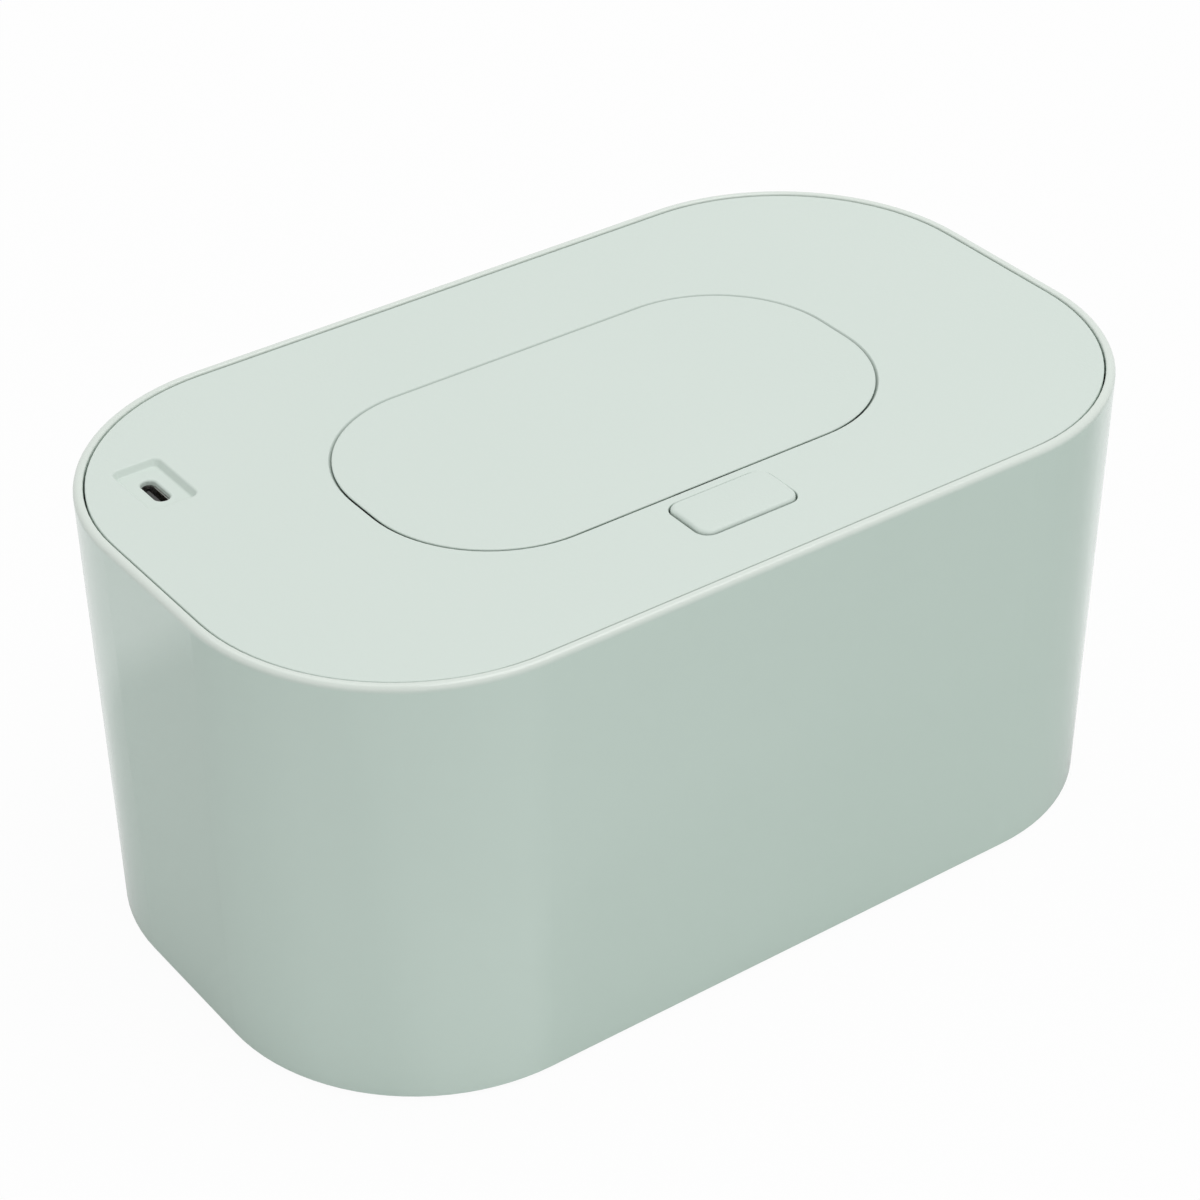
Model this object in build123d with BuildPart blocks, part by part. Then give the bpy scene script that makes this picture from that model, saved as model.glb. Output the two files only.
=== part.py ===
from build123d import *
import math
import os

os.makedirs("parts", exist_ok=True)

# A free-standing baby wipe warmer. X runs along its length, -Y is the side with the
# push button, and Z is up from the table. The origin is the middle of the footprint.
# All sizes are in millimetres.

# Outer body
length = 211.0
width = 126.1
shell_height = 98.9
corner_radius = 46.9
draft_angle = 1.1
foot_proud = 0.8
shell_wall = 2.2
rim_wall = 2.0
rim_round = 1.2
rim_inner_round = 0.5
ledge_width = 3.0
ledge_thickness = 2.5

# Base plate, its feet and the screws that clamp the body together
base_recess = 1.5
base_thickness = 1.8
base_rebate = 1.2
base_clearance = 0.25
base_lip_height = 2.4
base_lip_wall = 1.2
foot_radius = 7.0
foot_seat_depth = 0.6
foot_chamfer = 0.6
foot_clearance = 0.2
foot_inset_x = 23.0
foot_inset_y = 30.75
base_screw_inset_x = 45.0
base_screw_inset_y = 22.75

# Screws: large ones hold the casings, small ones the pieces inside the cover
screw_radius = 1.45
screw_head_radius = 2.75
screw_head_height = 2.0
small_screw_radius = 1.0
small_screw_head_radius = 1.9
small_screw_head_height = 1.3
screw_length = 6.4
small_screw_length = 5.6
head_chamfer_share = 0.4
tip_chamfer_share = 0.4
cross_span_share = 1.1
cross_slot_share = 0.28
cross_depth_share = 0.55
thread_clearance = 0.05
head_clearance = 0.3
head_seat_depth = 3.0
head_seat_roof = 1.8
boss_wall = 1.6
pilot_extra = 0.8

# Wipes tub and its foam
tub_wall = 1.6
tub_floor = 1.8
tub_standoff = 8.0
tub_clearance = 0.8
tub_round = 6.0
flange_thickness = 1.6
flange_clearance = 0.3
tub_rib_height = 1.0
tub_rib_width = 2.0
tub_rib_inset_x = 45.0
tub_rib_inset_y = 26.75
tub_rib_count = 5
foam_gap = 0.3

# Lift-off cover
cover_drop = 0.3
seam = 0.35
cover_plate = 1.8
cover_depth = 19.0
skirt_wall = 1.6
cover_edge_round = 0.3
cover_screw_inset_x = 60.0
bottom_cover_thickness = 2.0
bottom_cover_clearance = 0.2
gasket_width = 1.8
gasket_depth = 1.2
gasket_margin = 0.5
inner_boss_drop = 9.4
inner_boss_wall = 1.3

# Lid
lid_margin = 47.5
lid_width = 62.8
lid_radius = 27.5
lid_x = -0.75
lid_y = -1.27
lid_bevel = 38.0
lid_gap = 0.4
lid_edge_round = 0.25
opening_edge_round = 0.2
seal_inset = 8.0
seal_width = 2.2
seal_height = 1.7
seal_chamfer = 0.45
seal_gap = 0.3
seal_rib = 1.0
seal_rib_height = 1.2

# Gooseneck hinge hidden behind the lid
hinge_drop = 3.0
hinge_back = 4.5
hinge_inset = 33.0
arm_width = 6.0
arm_inner_radius = 6.2
arm_outer_radius = 8.0
arm_link_thickness = 1.8
arm_start_angle = -115.0
arm_end_angle = 14.0
knuckle_radius = 1.6
pin_radius = 0.8
pin_clearance = 0.05
pin_chamfer = 0.2
ear_thickness = 1.8
ear_radius = 2.4
ear_gap = 0.4
spring_space = 3.6
knuckle_clearance = 0.4
spring_wire = 0.5
spring_turns = 3.0
spring_clearance = 0.25
spring_leg = 4.0

# Dispensing tray under the lid
tray_wall = 1.2
tray_floor = 1.5
tray_floor_drop = 9.4
collar_wall = 1.2
pocket_front = 6.3
pocket_back = 5.6
pocket_drop = 11.8
pocket_side_gap = 0.6
throat_inset_x = 19.0
throat_inset_y = 14.4
throat_wall = 1.4
throat_clearance = 0.3
tray_lug_inset = 18.0
tray_lug_outset = 2.2
lug_radius = 3.4
lug_reach = 8.0

# Silicone gate that grips the wipe
gate_inset = 4.0
gate_flange = 3.0
gate_thickness = 1.2
gate_depth = 5.0
gate_slope = 60.0
gate_clearance = 0.2

# Push button and latch
button_x = -0.65
button_to_lid = 2.28
pocket_length = 24.1
pocket_width = 13.3
pocket_radius = 3.1
button_gap = 0.35
button_crown = 0.85
button_crown_radius = 60.0
button_edge_round = 0.9
pocket_edge_round = 0.25
button_wall = 1.3
button_skirt = 3.2
button_flange = 0.9
button_flange_thickness = 1.0
button_travel = 1.8
post_radius = 1.4
post_spacing = 19.6
post_offset = 4.8
post_reach = 7.4
blade_thickness = 2.0
blade_spacing = 9.0
blade_front = 1.0
blade_back = 4.2
blade_drop = 5.2
wedge_height = 2.0
wedge_clearance = 0.2
catch_width = 14.6
catch_clearance = 0.35
catch_notch = 0.1
catch_inset = 1.5
catch_thickness = 1.3
catch_lip = 1.0
catch_lip_thickness = 1.2
catch_drop = 8.6
latch_width = 17.0
latch_rail = 2.4
latch_lift = 0.2
latch_body = 8.4
latch_nose_width = 11.0
latch_nose_thickness = 1.2
latch_nose_gap = 0.3
latch_nose_chamfer = 0.85
latch_bar = 2.0
latch_leaf = 0.6
latch_leaf_height = 2.0
latch_leaf_root = 1.0
latch_leaf_bow = 3.4
latch_leaf_tip = 8.0
latch_leaf_gap = 0.2
latch_leaf_share = 0.7
carrier_wall = 1.2
carrier_floor = 1.5
carrier_gap = 0.25
carrier_rail_length = 9.0
carrier_rail_drop = 5.4
carrier_lug_spacing = 35.0
guide_clearance = 0.15

# Charging socket in its recess
usb_inset_x = 19.3
usb_inset_y = 32.55
recess_length = 16.9
recess_width = 10.6
recess_radius = 1.8
recess_depth = 1.6
recess_slope = 27.0
recess_floor = 1.2
recess_edge_round = 0.6
recess_foot_round = 0.5
slot_edge_round = 0.55
slot_length = 8.4
slot_width = 3.25
socket_length = 8.94
socket_width = 3.16
socket_wall = 0.3
socket_gap = 0.1
tongue_length = 6.7
tongue_thickness = 0.7
tongue_foot = 2.0

# Control board
board_length = 28.0
board_width = 27.0
board_thickness = 1.2
board_shift_x = 8.2
board_shift_y = -5.0
board_hole_inset = 3.2
board_corner = 1.5
chip_size = 5.0
chip_height = 1.0
chip_shift_x = 1.0
chip_shift_y = 1.5
switch_length = 6.0
switch_shift_x = 9.5
coil_size = 6.6
coil_corner = 1.2
coil_height = 3.0
coil_shift_y = -8.5
capacitor_radius = 2.5
capacitor_height = 5.4
capacitor_shift_y = 9.0

# Heater
heater_inset = 18.0
heater_thickness = 1.0
film_thickness = 0.25
film_margin = 3.0
heater_hole_gap = 3.0
stake_radius = 1.25
stake_head_radius = 2.3
stake_head_height = 0.7
stake_head_taper = 30.0
stake_inset_x = 35.0
stake_inset_y = 29.75
fuse_radius = 1.6
fuse_length = 9.0
fuse_chamfer = 0.5
fuse_offset = 24.0
sensor_radius = 1.2
sensor_height = 2.6
sensor_round = 0.85
sensor_offset = 14.0
window_margin = 2.5
stake_clearance = 0.15
sensor_lift = 0.05
lead_radius = 0.6
lead_bend = 0.45
lead_gap = 0.6
lead_tail = 3.4
lead_sag = 0.8
lead_step = 6.0
lead_lean = 1.2
lead_pad_x = 7.0
lead_pad_y = -6.75

# Levels and places that follow from the sizes above
shell_bottom = foot_proud
rim_top = shell_bottom + shell_height
cover_top = rim_top - cover_drop
cover_underside = cover_top - cover_plate
cover_bottom = cover_top - cover_depth
flange_top = cover_bottom
ledge_top = flange_top - flange_thickness
ledge_bottom = ledge_top - ledge_thickness
base_underside = shell_bottom + base_recess
base_shoulder = base_underside + base_thickness
base_head_seat = base_underside + head_seat_depth
base_sleeve_top = base_head_seat + head_seat_roof
tub_bottom = base_shoulder + tub_standoff
tub_inset = shell_wall + ledge_width + tub_clearance
cover_inset = rim_wall + seam
bottom_cover_inset = cover_inset + skirt_wall + bottom_cover_clearance
bottom_cover_top = cover_bottom + bottom_cover_thickness
cover_head_seat = cover_bottom + head_seat_depth
cover_sleeve_top = cover_head_seat + head_seat_roof
inner_boss_bottom = cover_top - inner_boss_drop
lid_length = length - 2 * lid_margin
lid_inside = cover_plate * math.tan(math.radians(lid_bevel))
opening_ledge = lid_inside - lid_gap
hinge_y = lid_y + lid_width / 2 + hinge_back
hinge_z = cover_top - hinge_drop
tray_floor_top = cover_top - tray_floor_drop
tray_floor_bottom = tray_floor_top - tray_floor
collar_top = cover_underside - seal_height - seal_gap
collar_inset = seal_inset + (seal_width - collar_wall) / 2
lid_front = lid_y - lid_width / 2
hinge_spacing = lid_length - 2 * hinge_inset
throat_length = lid_length - 2 * throat_inset_x
throat_width = lid_width - 2 * throat_inset_y
gate_length = throat_length - 2 * gate_inset
gate_width = throat_width - 2 * gate_inset
tray_lug_spacing_x = lid_length - 2 * tray_lug_inset
button_y = lid_front - button_to_lid - pocket_width / 2
catch_face = lid_front + catch_inset
catch_lip_front = catch_face - catch_lip
catch_bottom = cover_top - catch_drop
latch_tip = catch_face - latch_nose_gap
latch_nose_bottom = catch_bottom + catch_lip_thickness + latch_nose_gap
latch_top = latch_nose_bottom + latch_nose_thickness
latch_bottom = inner_boss_bottom + latch_lift
latch_back = lid_front + opening_ledge - tray_wall - carrier_gap
latch_front = latch_back - latch_body - latch_bar
carrier_front = button_y - pocket_width / 2 - button_flange - carrier_gap
socket_top = cover_top - recess_depth - recess_floor - socket_gap
usb_x = usb_inset_x - length / 2
usb_y = width / 2 - usb_inset_y
board_x = usb_x + board_shift_x
board_y = usb_y + board_shift_y
board_bottom = inner_boss_bottom - board_thickness
film_bottom = cover_bottom - film_thickness
heater_bottom = film_bottom - heater_thickness
fuse_x = lid_x - throat_length / 2 - fuse_offset
screw_clear_radius = screw_radius + head_clearance
head_recess_radius = screw_head_radius + head_clearance
gasket_inset = tub_inset + tub_wall - gasket_margin - gasket_width
cover_screw_inset = gasket_inset + gasket_width + head_recess_radius + boss_wall
sleeve_radius = head_recess_radius + boss_wall
pilot_radius = screw_radius + thread_clearance
small_pilot_radius = small_screw_radius + thread_clearance
small_clear_radius = small_screw_radius + head_clearance
inner_boss_radius = small_pilot_radius + inner_boss_wall
boss_radius = pilot_radius + boss_wall

foot_spacing_x = length - 2 * foot_inset_x
foot_spacing_y = width - 2 * foot_inset_y
tub_rib_length = length - 2 * tub_rib_inset_x
tub_rib_pitch = (width - 2 * tub_rib_inset_y) / (tub_rib_count - 1)
base_screw_spacing_x = length / 2 - base_screw_inset_x
base_screw_spacing_y = width - 2 * base_screw_inset_y
cover_screw_spacing = length - 2 * cover_screw_inset_x
stake_spacing_x = length - 2 * stake_inset_x
stake_spacing_y = width - 2 * stake_inset_y

# Places of the repeated screws
cover_screw_places = [
    (-(length / 2 - cover_screw_inset), 0),
    (length / 2 - cover_screw_inset, 0),
    (-cover_screw_spacing / 2, width / 2 - cover_screw_inset),
    (cover_screw_spacing / 2, width / 2 - cover_screw_inset),
    (-cover_screw_spacing / 2, -(width / 2 - cover_screw_inset)),
    (cover_screw_spacing / 2, -(width / 2 - cover_screw_inset)),
]
base_screw_places = [
    (base_screw_spacing_x * i, base_screw_spacing_y / 2 * j)
    for i in (-1, 0, 1)
    for j in (-1, 1)
]
tray_lug_places = [
    (lid_x + tray_lug_spacing_x / 2 * i, lid_y + (lid_width / 2 + tray_lug_outset) * j)
    for i in (-1, 1)
    for j in (-1, 1)
]
carrier_lug_places = [
    (button_x + carrier_lug_spacing / 2 * i, button_y) for i in (-1, 1)
]
board_hole_x = board_length / 2 - board_hole_inset
board_hole_y = board_width / 2 - board_hole_inset
board_screw_places = [
    (board_x - board_hole_x, board_y - board_hole_y),
    (board_x + board_hole_x, board_y - board_hole_y),
    (board_x + board_hole_x, board_y + board_hole_y),
]
inner_screw_places = tray_lug_places + carrier_lug_places + board_screw_places
stake_places = [
    (stake_spacing_x / 2 * i, stake_spacing_y / 2 * j) for i in (-1, 1) for j in (-1, 1)
] + [(0, stake_spacing_y / 2), (0, -stake_spacing_y / 2)]
hinge_sides = (-1, 1)


def body_outline(height, inset, mode=Mode.ADD):
    """Draw the body's rounded outline at a height, moved in from the drafted outside face."""
    shrink = inset + (rim_top - height) * math.tan(math.radians(draft_angle))
    RectangleRounded(
        length - 2 * shrink, width - 2 * shrink, corner_radius - shrink, mode=mode
    )


def lid_outline(inset, mode=Mode.ADD):
    """Draw the lid's rounded outline, moved in from its top edge."""
    with Locations((lid_x, lid_y)):
        RectangleRounded(
            lid_length - 2 * inset, lid_width - 2 * inset, lid_radius - inset, mode=mode
        )


def lid_slot(slot_size, slot_breadth, mode=Mode.ADD):
    """Draw a slot with round ends about the lid's middle."""
    with Locations((lid_x, lid_y)):
        SlotOverall(slot_size, slot_breadth, mode=mode)


def hinge_point(radius, angle):
    """A point about the hinge axis in the YZ plane; the angle rises from the lid's side."""
    turn = math.radians(angle)
    return (hinge_y - radius * math.cos(turn), hinge_z + radius * math.sin(turn))


def bend_radii(points):
    """The largest arc that the two runs beside each inner point of a route allow."""
    radii = []
    for before, here, after in zip(points, points[1:], points[2:]):
        turn = math.radians((here - before).get_angle(after - here))
        shorter = min((here - before).length, (after - here).length)
        radii.append(lead_bend * shorter / math.tan(turn / 2))
    return radii


def pan_screw(shank_radius, shank_length, head_radius, head_height):
    """Make a pan-head screw with its head's seat at the origin and its shank pointing up."""
    with BuildPart() as screw:
        Cylinder(
            head_radius, head_height, align=(Align.CENTER, Align.CENTER, Align.MAX)
        )
        chamfer(screw.faces().sort_by(Axis.Z)[0].edges(), head_height * head_chamfer_share)
        Cylinder(
            shank_radius, shank_length, align=(Align.CENTER, Align.CENTER, Align.MIN)
        )
        chamfer(
            screw.faces().sort_by(Axis.Z)[-1].edges(), shank_radius * tip_chamfer_share
        )
        with BuildSketch(Plane.XY.offset(-head_height)):
            Rectangle(head_radius * cross_span_share, head_radius * cross_slot_share)
            Rectangle(head_radius * cross_slot_share, head_radius * cross_span_share)
        extrude(amount=head_height * cross_depth_share, mode=Mode.SUBTRACT)
    return screw.part


# Outer shell: a drafted tube, open at both ends, with a ledge inside for the tub's flange
with BuildPart() as outer_shell:
    with BuildSketch(Plane.XY.offset(shell_bottom)):
        body_outline(shell_bottom, 0)
    extrude(amount=shell_height, taper=-draft_angle)
    with BuildSketch(Plane.XY.offset(ledge_top)):
        body_outline(ledge_top, rim_wall)
    extrude(amount=rim_top - ledge_top, taper=-draft_angle, mode=Mode.SUBTRACT)
    with BuildSketch(Plane.XY.offset(ledge_bottom)):
        body_outline(ledge_bottom, shell_wall + ledge_width)
    extrude(amount=ledge_thickness, mode=Mode.SUBTRACT)
    with BuildSketch(Plane.XY.offset(base_shoulder)):
        body_outline(base_shoulder, shell_wall)
    extrude(
        amount=ledge_bottom - base_shoulder, taper=-draft_angle, mode=Mode.SUBTRACT
    )
    with BuildSketch(Plane.XY.offset(shell_bottom)):
        body_outline(shell_bottom, base_rebate)
    extrude(
        amount=base_shoulder - shell_bottom, taper=-draft_angle, mode=Mode.SUBTRACT
    )
    rim_face = outer_shell.faces().sort_by(Axis.Z)[-1]
    fillet(rim_face.outer_wire().edges(), rim_round)
    rim_face = outer_shell.faces().sort_by(Axis.Z)[-1]
    fillet(rim_face.inner_wires()[0].edges(), rim_inner_round)
outer_shell.part.label = "outer_shell"
export_step(outer_shell.part, "parts/outer_shell.step")

# Inner tub: the wipes chamber, hung by its flange on the shell's ledge
with BuildPart() as tub_core:
    with BuildSketch(Plane.XY.offset(tub_bottom + tub_floor)):
        body_outline(tub_bottom + tub_floor, tub_inset + tub_wall)
    extrude(amount=flange_top - tub_bottom - tub_floor, taper=-draft_angle)
    fillet(tub_core.faces().sort_by(Axis.Z)[0].edges(), tub_round - tub_wall)

with BuildPart() as inner_tub:
    with BuildSketch(Plane.XY.offset(tub_bottom)):
        body_outline(tub_bottom, tub_inset)
    extrude(amount=flange_top - tub_bottom, taper=-draft_angle)
    fillet(inner_tub.faces().sort_by(Axis.Z)[0].edges(), tub_round)
    with BuildSketch(Plane.XY.offset(ledge_top)):
        body_outline(ledge_top, rim_wall + flange_clearance)
    extrude(amount=flange_thickness, taper=-draft_angle)
    add(tub_core.part, mode=Mode.SUBTRACT)
    with BuildSketch(Plane.XY.offset(tub_bottom + tub_floor)):
        with GridLocations(0, tub_rib_pitch, 1, tub_rib_count):
            SlotOverall(tub_rib_length, tub_rib_width)
    extrude(amount=tub_rib_height)
    with BuildSketch(Plane.XY.offset(base_sleeve_top)):
        with Locations(*base_screw_places):
            Circle(boss_radius)
    extrude(amount=tub_bottom - base_sleeve_top)
    with BuildSketch(Plane.XY.offset(base_sleeve_top)):
        with Locations(*base_screw_places):
            Circle(pilot_radius)
    extrude(
        amount=base_head_seat + screw_length + pilot_extra - base_sleeve_top,
        mode=Mode.SUBTRACT,
    )
inner_tub.part.label = "inner_tub"
export_step(inner_tub.part, "parts/inner_tub.step")

# Base plate: seats on the shell's lower shoulder and is screwed up to the tub
with BuildPart() as base_plate:
    with BuildSketch(Plane.XY.offset(base_underside)):
        body_outline(base_underside, base_rebate + base_clearance)
    extrude(amount=base_thickness, taper=-draft_angle)
    with BuildSketch(Plane.XY.offset(base_shoulder)):
        body_outline(base_shoulder, shell_wall + base_clearance)
        body_outline(
            base_shoulder, shell_wall + base_clearance + base_lip_wall, Mode.SUBTRACT
        )
    extrude(amount=base_lip_height)
    with BuildSketch(Plane.XY.offset(base_shoulder)):
        with Locations(*base_screw_places):
            Circle(sleeve_radius)
    extrude(amount=base_sleeve_top - base_shoulder)
    with BuildSketch(Plane.XY.offset(base_underside)):
        with Locations(*base_screw_places):
            Circle(head_recess_radius)
    extrude(amount=head_seat_depth, mode=Mode.SUBTRACT)
    with BuildSketch(Plane.XY.offset(base_head_seat)):
        with Locations(*base_screw_places):
            Circle(screw_clear_radius)
    extrude(amount=head_seat_roof, mode=Mode.SUBTRACT)
    with BuildSketch(Plane.XY.offset(base_underside)):
        with GridLocations(foot_spacing_x, foot_spacing_y, 2, 2):
            Circle(foot_radius + foot_clearance)
    extrude(amount=foot_seat_depth, mode=Mode.SUBTRACT)
base_plate.part.label = "base_plate"
export_step(base_plate.part, "parts/base_plate.step")

# Feet: four silicone pads bonded into shallow seats in the base plate
with BuildPart() as base_feet:
    with BuildSketch():
        with GridLocations(foot_spacing_x, foot_spacing_y, 2, 2):
            Circle(foot_radius)
    extrude(amount=base_underside + foot_seat_depth)
    chamfer(base_feet.faces().group_by(Axis.Z)[0].edges(), foot_chamfer)
base_feet.part.label = "base_feet"
export_step(base_feet.part, "parts/base_feet.step")

# Base screws: from below, through the base plate into the tub's bosses
with BuildPart() as base_screws:
    with Locations(*[(x, y, base_head_seat) for x, y in base_screw_places]):
        add(pan_screw(screw_radius, screw_length, screw_head_radius, screw_head_height))
base_screws.part.label = "base_screws"
export_step(base_screws.part, "parts/base_screws.step")

# Insulation sleeve: foam wrapped round the tub, standing on the base plate's lip
with BuildPart() as insulation_sleeve:
    sleeve_bottom = base_shoulder + base_lip_height
    sleeve_height = ledge_bottom - foam_gap - sleeve_bottom
    with BuildSketch(Plane.XY.offset(sleeve_bottom)):
        body_outline(sleeve_bottom, shell_wall + foam_gap)
    extrude(amount=sleeve_height, taper=-draft_angle)
    with BuildSketch(Plane.XY.offset(sleeve_bottom)):
        body_outline(sleeve_bottom, tub_inset - foam_gap)
    extrude(amount=sleeve_height, taper=-draft_angle, mode=Mode.SUBTRACT)
insulation_sleeve.part.label = "insulation_sleeve"
export_step(insulation_sleeve.part, "parts/insulation_sleeve.step")

# Insulation pad: foam under the tub's floor, cut out round the screw bosses
with BuildPart() as insulation_pad:
    with BuildSketch(Plane.XY.offset(base_shoulder)):
        body_outline(base_shoulder, tub_inset + tub_round)
        with Locations(*base_screw_places):
            Circle(sleeve_radius + foam_gap, mode=Mode.SUBTRACT)
    extrude(amount=tub_standoff - foam_gap)
insulation_pad.part.label = "insulation_pad"
export_step(insulation_pad.part, "parts/insulation_pad.step")

# Top cover: plate and skirt in one moulding, with the lid's bevelled opening, the
# button's pocket, the charging recess, the hinge ears and all the screw bosses
ear_shift = arm_width / 2 + ear_gap + ear_thickness / 2
spring_ear_shift = arm_width / 2 + spring_space + ear_thickness / 2
ear_places = [
    lid_x + side * (hinge_spacing / 2 + shift)
    for side in hinge_sides
    for shift in (-ear_shift, spring_ear_shift)
]
with BuildPart() as top_cover:
    with BuildSketch(Plane.XY.offset(cover_bottom)):
        body_outline(cover_bottom, cover_inset)
    extrude(amount=cover_depth, taper=-draft_angle)
    with BuildSketch(Plane.XY.offset(cover_bottom)):
        body_outline(cover_bottom, cover_inset + skirt_wall)
    extrude(amount=cover_depth - cover_plate, taper=-draft_angle, mode=Mode.SUBTRACT)
    fillet(top_cover.faces().sort_by(Axis.Z)[-1].outer_wire().edges(), cover_edge_round)
    # Thicker pad under the charging recess, then the screw bosses
    with BuildSketch(Plane.XY.offset(cover_underside)):
        with Locations((usb_x, usb_y)):
            RectangleRounded(
                recess_width + 2 * recess_floor,
                recess_length + 2 * recess_floor,
                recess_radius + recess_floor,
            )
    extrude(amount=-(recess_depth + recess_floor - cover_plate))
    with BuildSketch(Plane.XY.offset(cover_sleeve_top)):
        with Locations(*cover_screw_places):
            Circle(boss_radius)
    extrude(amount=cover_underside - cover_sleeve_top)
    with BuildSketch(Plane.XY.offset(cover_sleeve_top)):
        with Locations(*cover_screw_places):
            Circle(pilot_radius)
    extrude(
        amount=cover_head_seat + screw_length + pilot_extra - cover_sleeve_top,
        mode=Mode.SUBTRACT,
    )
    with BuildSketch(Plane.XY.offset(inner_boss_bottom)):
        with Locations(*inner_screw_places):
            Circle(inner_boss_radius)
    extrude(amount=cover_underside - inner_boss_bottom)
    with BuildSketch(Plane.XY.offset(inner_boss_bottom)):
        with Locations(*inner_screw_places):
            Circle(small_pilot_radius)
    extrude(amount=small_screw_length, mode=Mode.SUBTRACT)
    # Hinge ears, with relief in the plate for the knuckles that turn beside them
    for ear_x in ear_places:
        with BuildSketch(Plane.YZ.offset(ear_x - ear_thickness / 2)):
            with Locations((hinge_y, hinge_z)):
                Circle(ear_radius)
                Rectangle(
                    2 * ear_radius,
                    cover_underside - hinge_z,
                    align=(Align.CENTER, Align.MIN),
                )
                Circle(pin_radius + pin_clearance, mode=Mode.SUBTRACT)
        extrude(amount=ear_thickness)
    for side in hinge_sides:
        relief_start = lid_x + side * (hinge_spacing / 2 - arm_width / 2 - ear_gap)
        with BuildSketch(Plane.YZ.offset(relief_start)):
            with Locations((hinge_y, hinge_z)):
                Circle(knuckle_radius + knuckle_clearance)
        extrude(amount=side * (arm_width + ear_gap + spring_space), mode=Mode.SUBTRACT)
    # Opening for the lid
    with BuildSketch(Plane.XY.offset(cover_top)):
        lid_outline(-lid_gap)
    extrude(amount=-cover_plate, taper=lid_bevel, mode=Mode.SUBTRACT)
    # Pocket for the push button
    with BuildSketch(Plane.XY.offset(cover_top)):
        with Locations((button_x, button_y)):
            RectangleRounded(pocket_length, pocket_width, pocket_radius)
    extrude(amount=-cover_plate, mode=Mode.SUBTRACT)
    # Sloped charging recess
    with BuildSketch(Plane.XY.offset(cover_top)):
        with Locations((usb_x, usb_y)):
            RectangleRounded(recess_width, recess_length, recess_radius)
    extrude(amount=-recess_depth, taper=recess_slope, mode=Mode.SUBTRACT)
    floor_level = cover_top - recess_depth
    recess_face = top_cover.faces().filter_by_position(Axis.Z, floor_level, floor_level)[0]
    fillet(recess_face.edges(), recess_foot_round)
    # Soft edges round the three openings, seen from above
    for middle_x, middle_y, edge_round in (
        (lid_x, lid_y, opening_edge_round),
        (button_x, button_y, pocket_edge_round),
        (usb_x, usb_y, recess_edge_round),
    ):
        top_face = top_cover.faces().filter_by(Axis.Z).sort_by(Axis.Z)[-1]
        ring = top_face.inner_wires().sort_by_distance((middle_x, middle_y, cover_top))[0]
        fillet(ring.edges(), edge_round)
    # Slot in the recess floor
    with BuildSketch(Plane.XY.offset(floor_level)):
        with Locations((usb_x, usb_y)):
            SlotOverall(slot_length, slot_width, rotation=90)
    extrude(amount=-recess_floor, mode=Mode.SUBTRACT)
    slot_ring = (
        top_cover.edges()
        .filter_by_position(Axis.Z, floor_level, floor_level)
        .filter_by_position(Axis.Y, usb_y - slot_length / 2, usb_y + slot_length / 2)
        .filter_by_position(Axis.X, usb_x - slot_width / 2, usb_x + slot_width / 2)
    )
    fillet(slot_ring, slot_edge_round)
    # Notch in the opening's front slope, where the lid's catch passes
    with BuildSketch(Plane.XY.offset(cover_top)):
        with Locations((lid_x, lid_front - catch_notch)):
            Rectangle(
                catch_width + 2 * catch_clearance,
                lid_inside + catch_notch,
                align=(Align.CENTER, Align.MIN),
            )
    extrude(amount=-cover_plate, mode=Mode.SUBTRACT)
top_cover.part.label = "top_cover"
export_step(top_cover.part, "parts/top_cover.step")

# Bottom cover: closes the lift-off cover from below, with a collar round the tray's
# throat, sleeves for the screws, stakes for the heater plate and two sensor windows
collar_outer_length = throat_length + 2 * (throat_clearance + throat_wall)
collar_outer_width = throat_width + 2 * (throat_clearance + throat_wall)
with BuildPart() as bottom_cover:
    with BuildSketch(Plane.XY.offset(cover_bottom)):
        body_outline(cover_bottom, bottom_cover_inset)
    extrude(amount=bottom_cover_thickness, taper=-draft_angle)
    with BuildSketch(Plane.XY.offset(bottom_cover_top)):
        with Locations(*cover_screw_places):
            Circle(sleeve_radius)
        lid_slot(collar_outer_length, collar_outer_width)
    extrude(amount=cover_sleeve_top - bottom_cover_top)
    with BuildSketch(Plane.XY.offset(cover_bottom)):
        lid_slot(throat_length + 2 * throat_clearance, throat_width + 2 * throat_clearance)
    extrude(amount=cover_sleeve_top - cover_bottom, mode=Mode.SUBTRACT)
    with BuildSketch(Plane.XY.offset(cover_bottom)):
        with Locations(*cover_screw_places):
            Circle(head_recess_radius)
    extrude(amount=head_seat_depth, mode=Mode.SUBTRACT)
    with BuildSketch(Plane.XY.offset(cover_head_seat)):
        with Locations(*cover_screw_places):
            Circle(screw_clear_radius)
    extrude(amount=head_seat_roof, mode=Mode.SUBTRACT)
    with BuildSketch(Plane.XY.offset(cover_bottom)):
        body_outline(cover_bottom, gasket_inset)
        body_outline(cover_bottom, gasket_inset + gasket_width, Mode.SUBTRACT)
    extrude(amount=gasket_depth, mode=Mode.SUBTRACT)
    with BuildSketch(Plane.XY.offset(cover_bottom)):
        with Locations((fuse_x, lid_y)):
            Rectangle(
                2 * (fuse_radius + window_margin), fuse_length + 2 * window_margin
            )
        with Locations((fuse_x, lid_y - sensor_offset)):
            Rectangle(
                2 * (sensor_radius + window_margin), 2 * (sensor_radius + window_margin)
            )
    extrude(amount=bottom_cover_thickness, mode=Mode.SUBTRACT)
    with BuildSketch(Plane.XY.offset(heater_bottom)):
        with Locations(*stake_places):
            Circle(stake_radius)
    extrude(amount=cover_bottom - heater_bottom)
    with BuildSketch(Plane.XY.offset(heater_bottom)):
        with Locations(*stake_places):
            Circle(stake_head_radius)
    extrude(amount=-stake_head_height, taper=stake_head_taper)
bottom_cover.part.label = "bottom_cover"
export_step(bottom_cover.part, "parts/bottom_cover.step")

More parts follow.
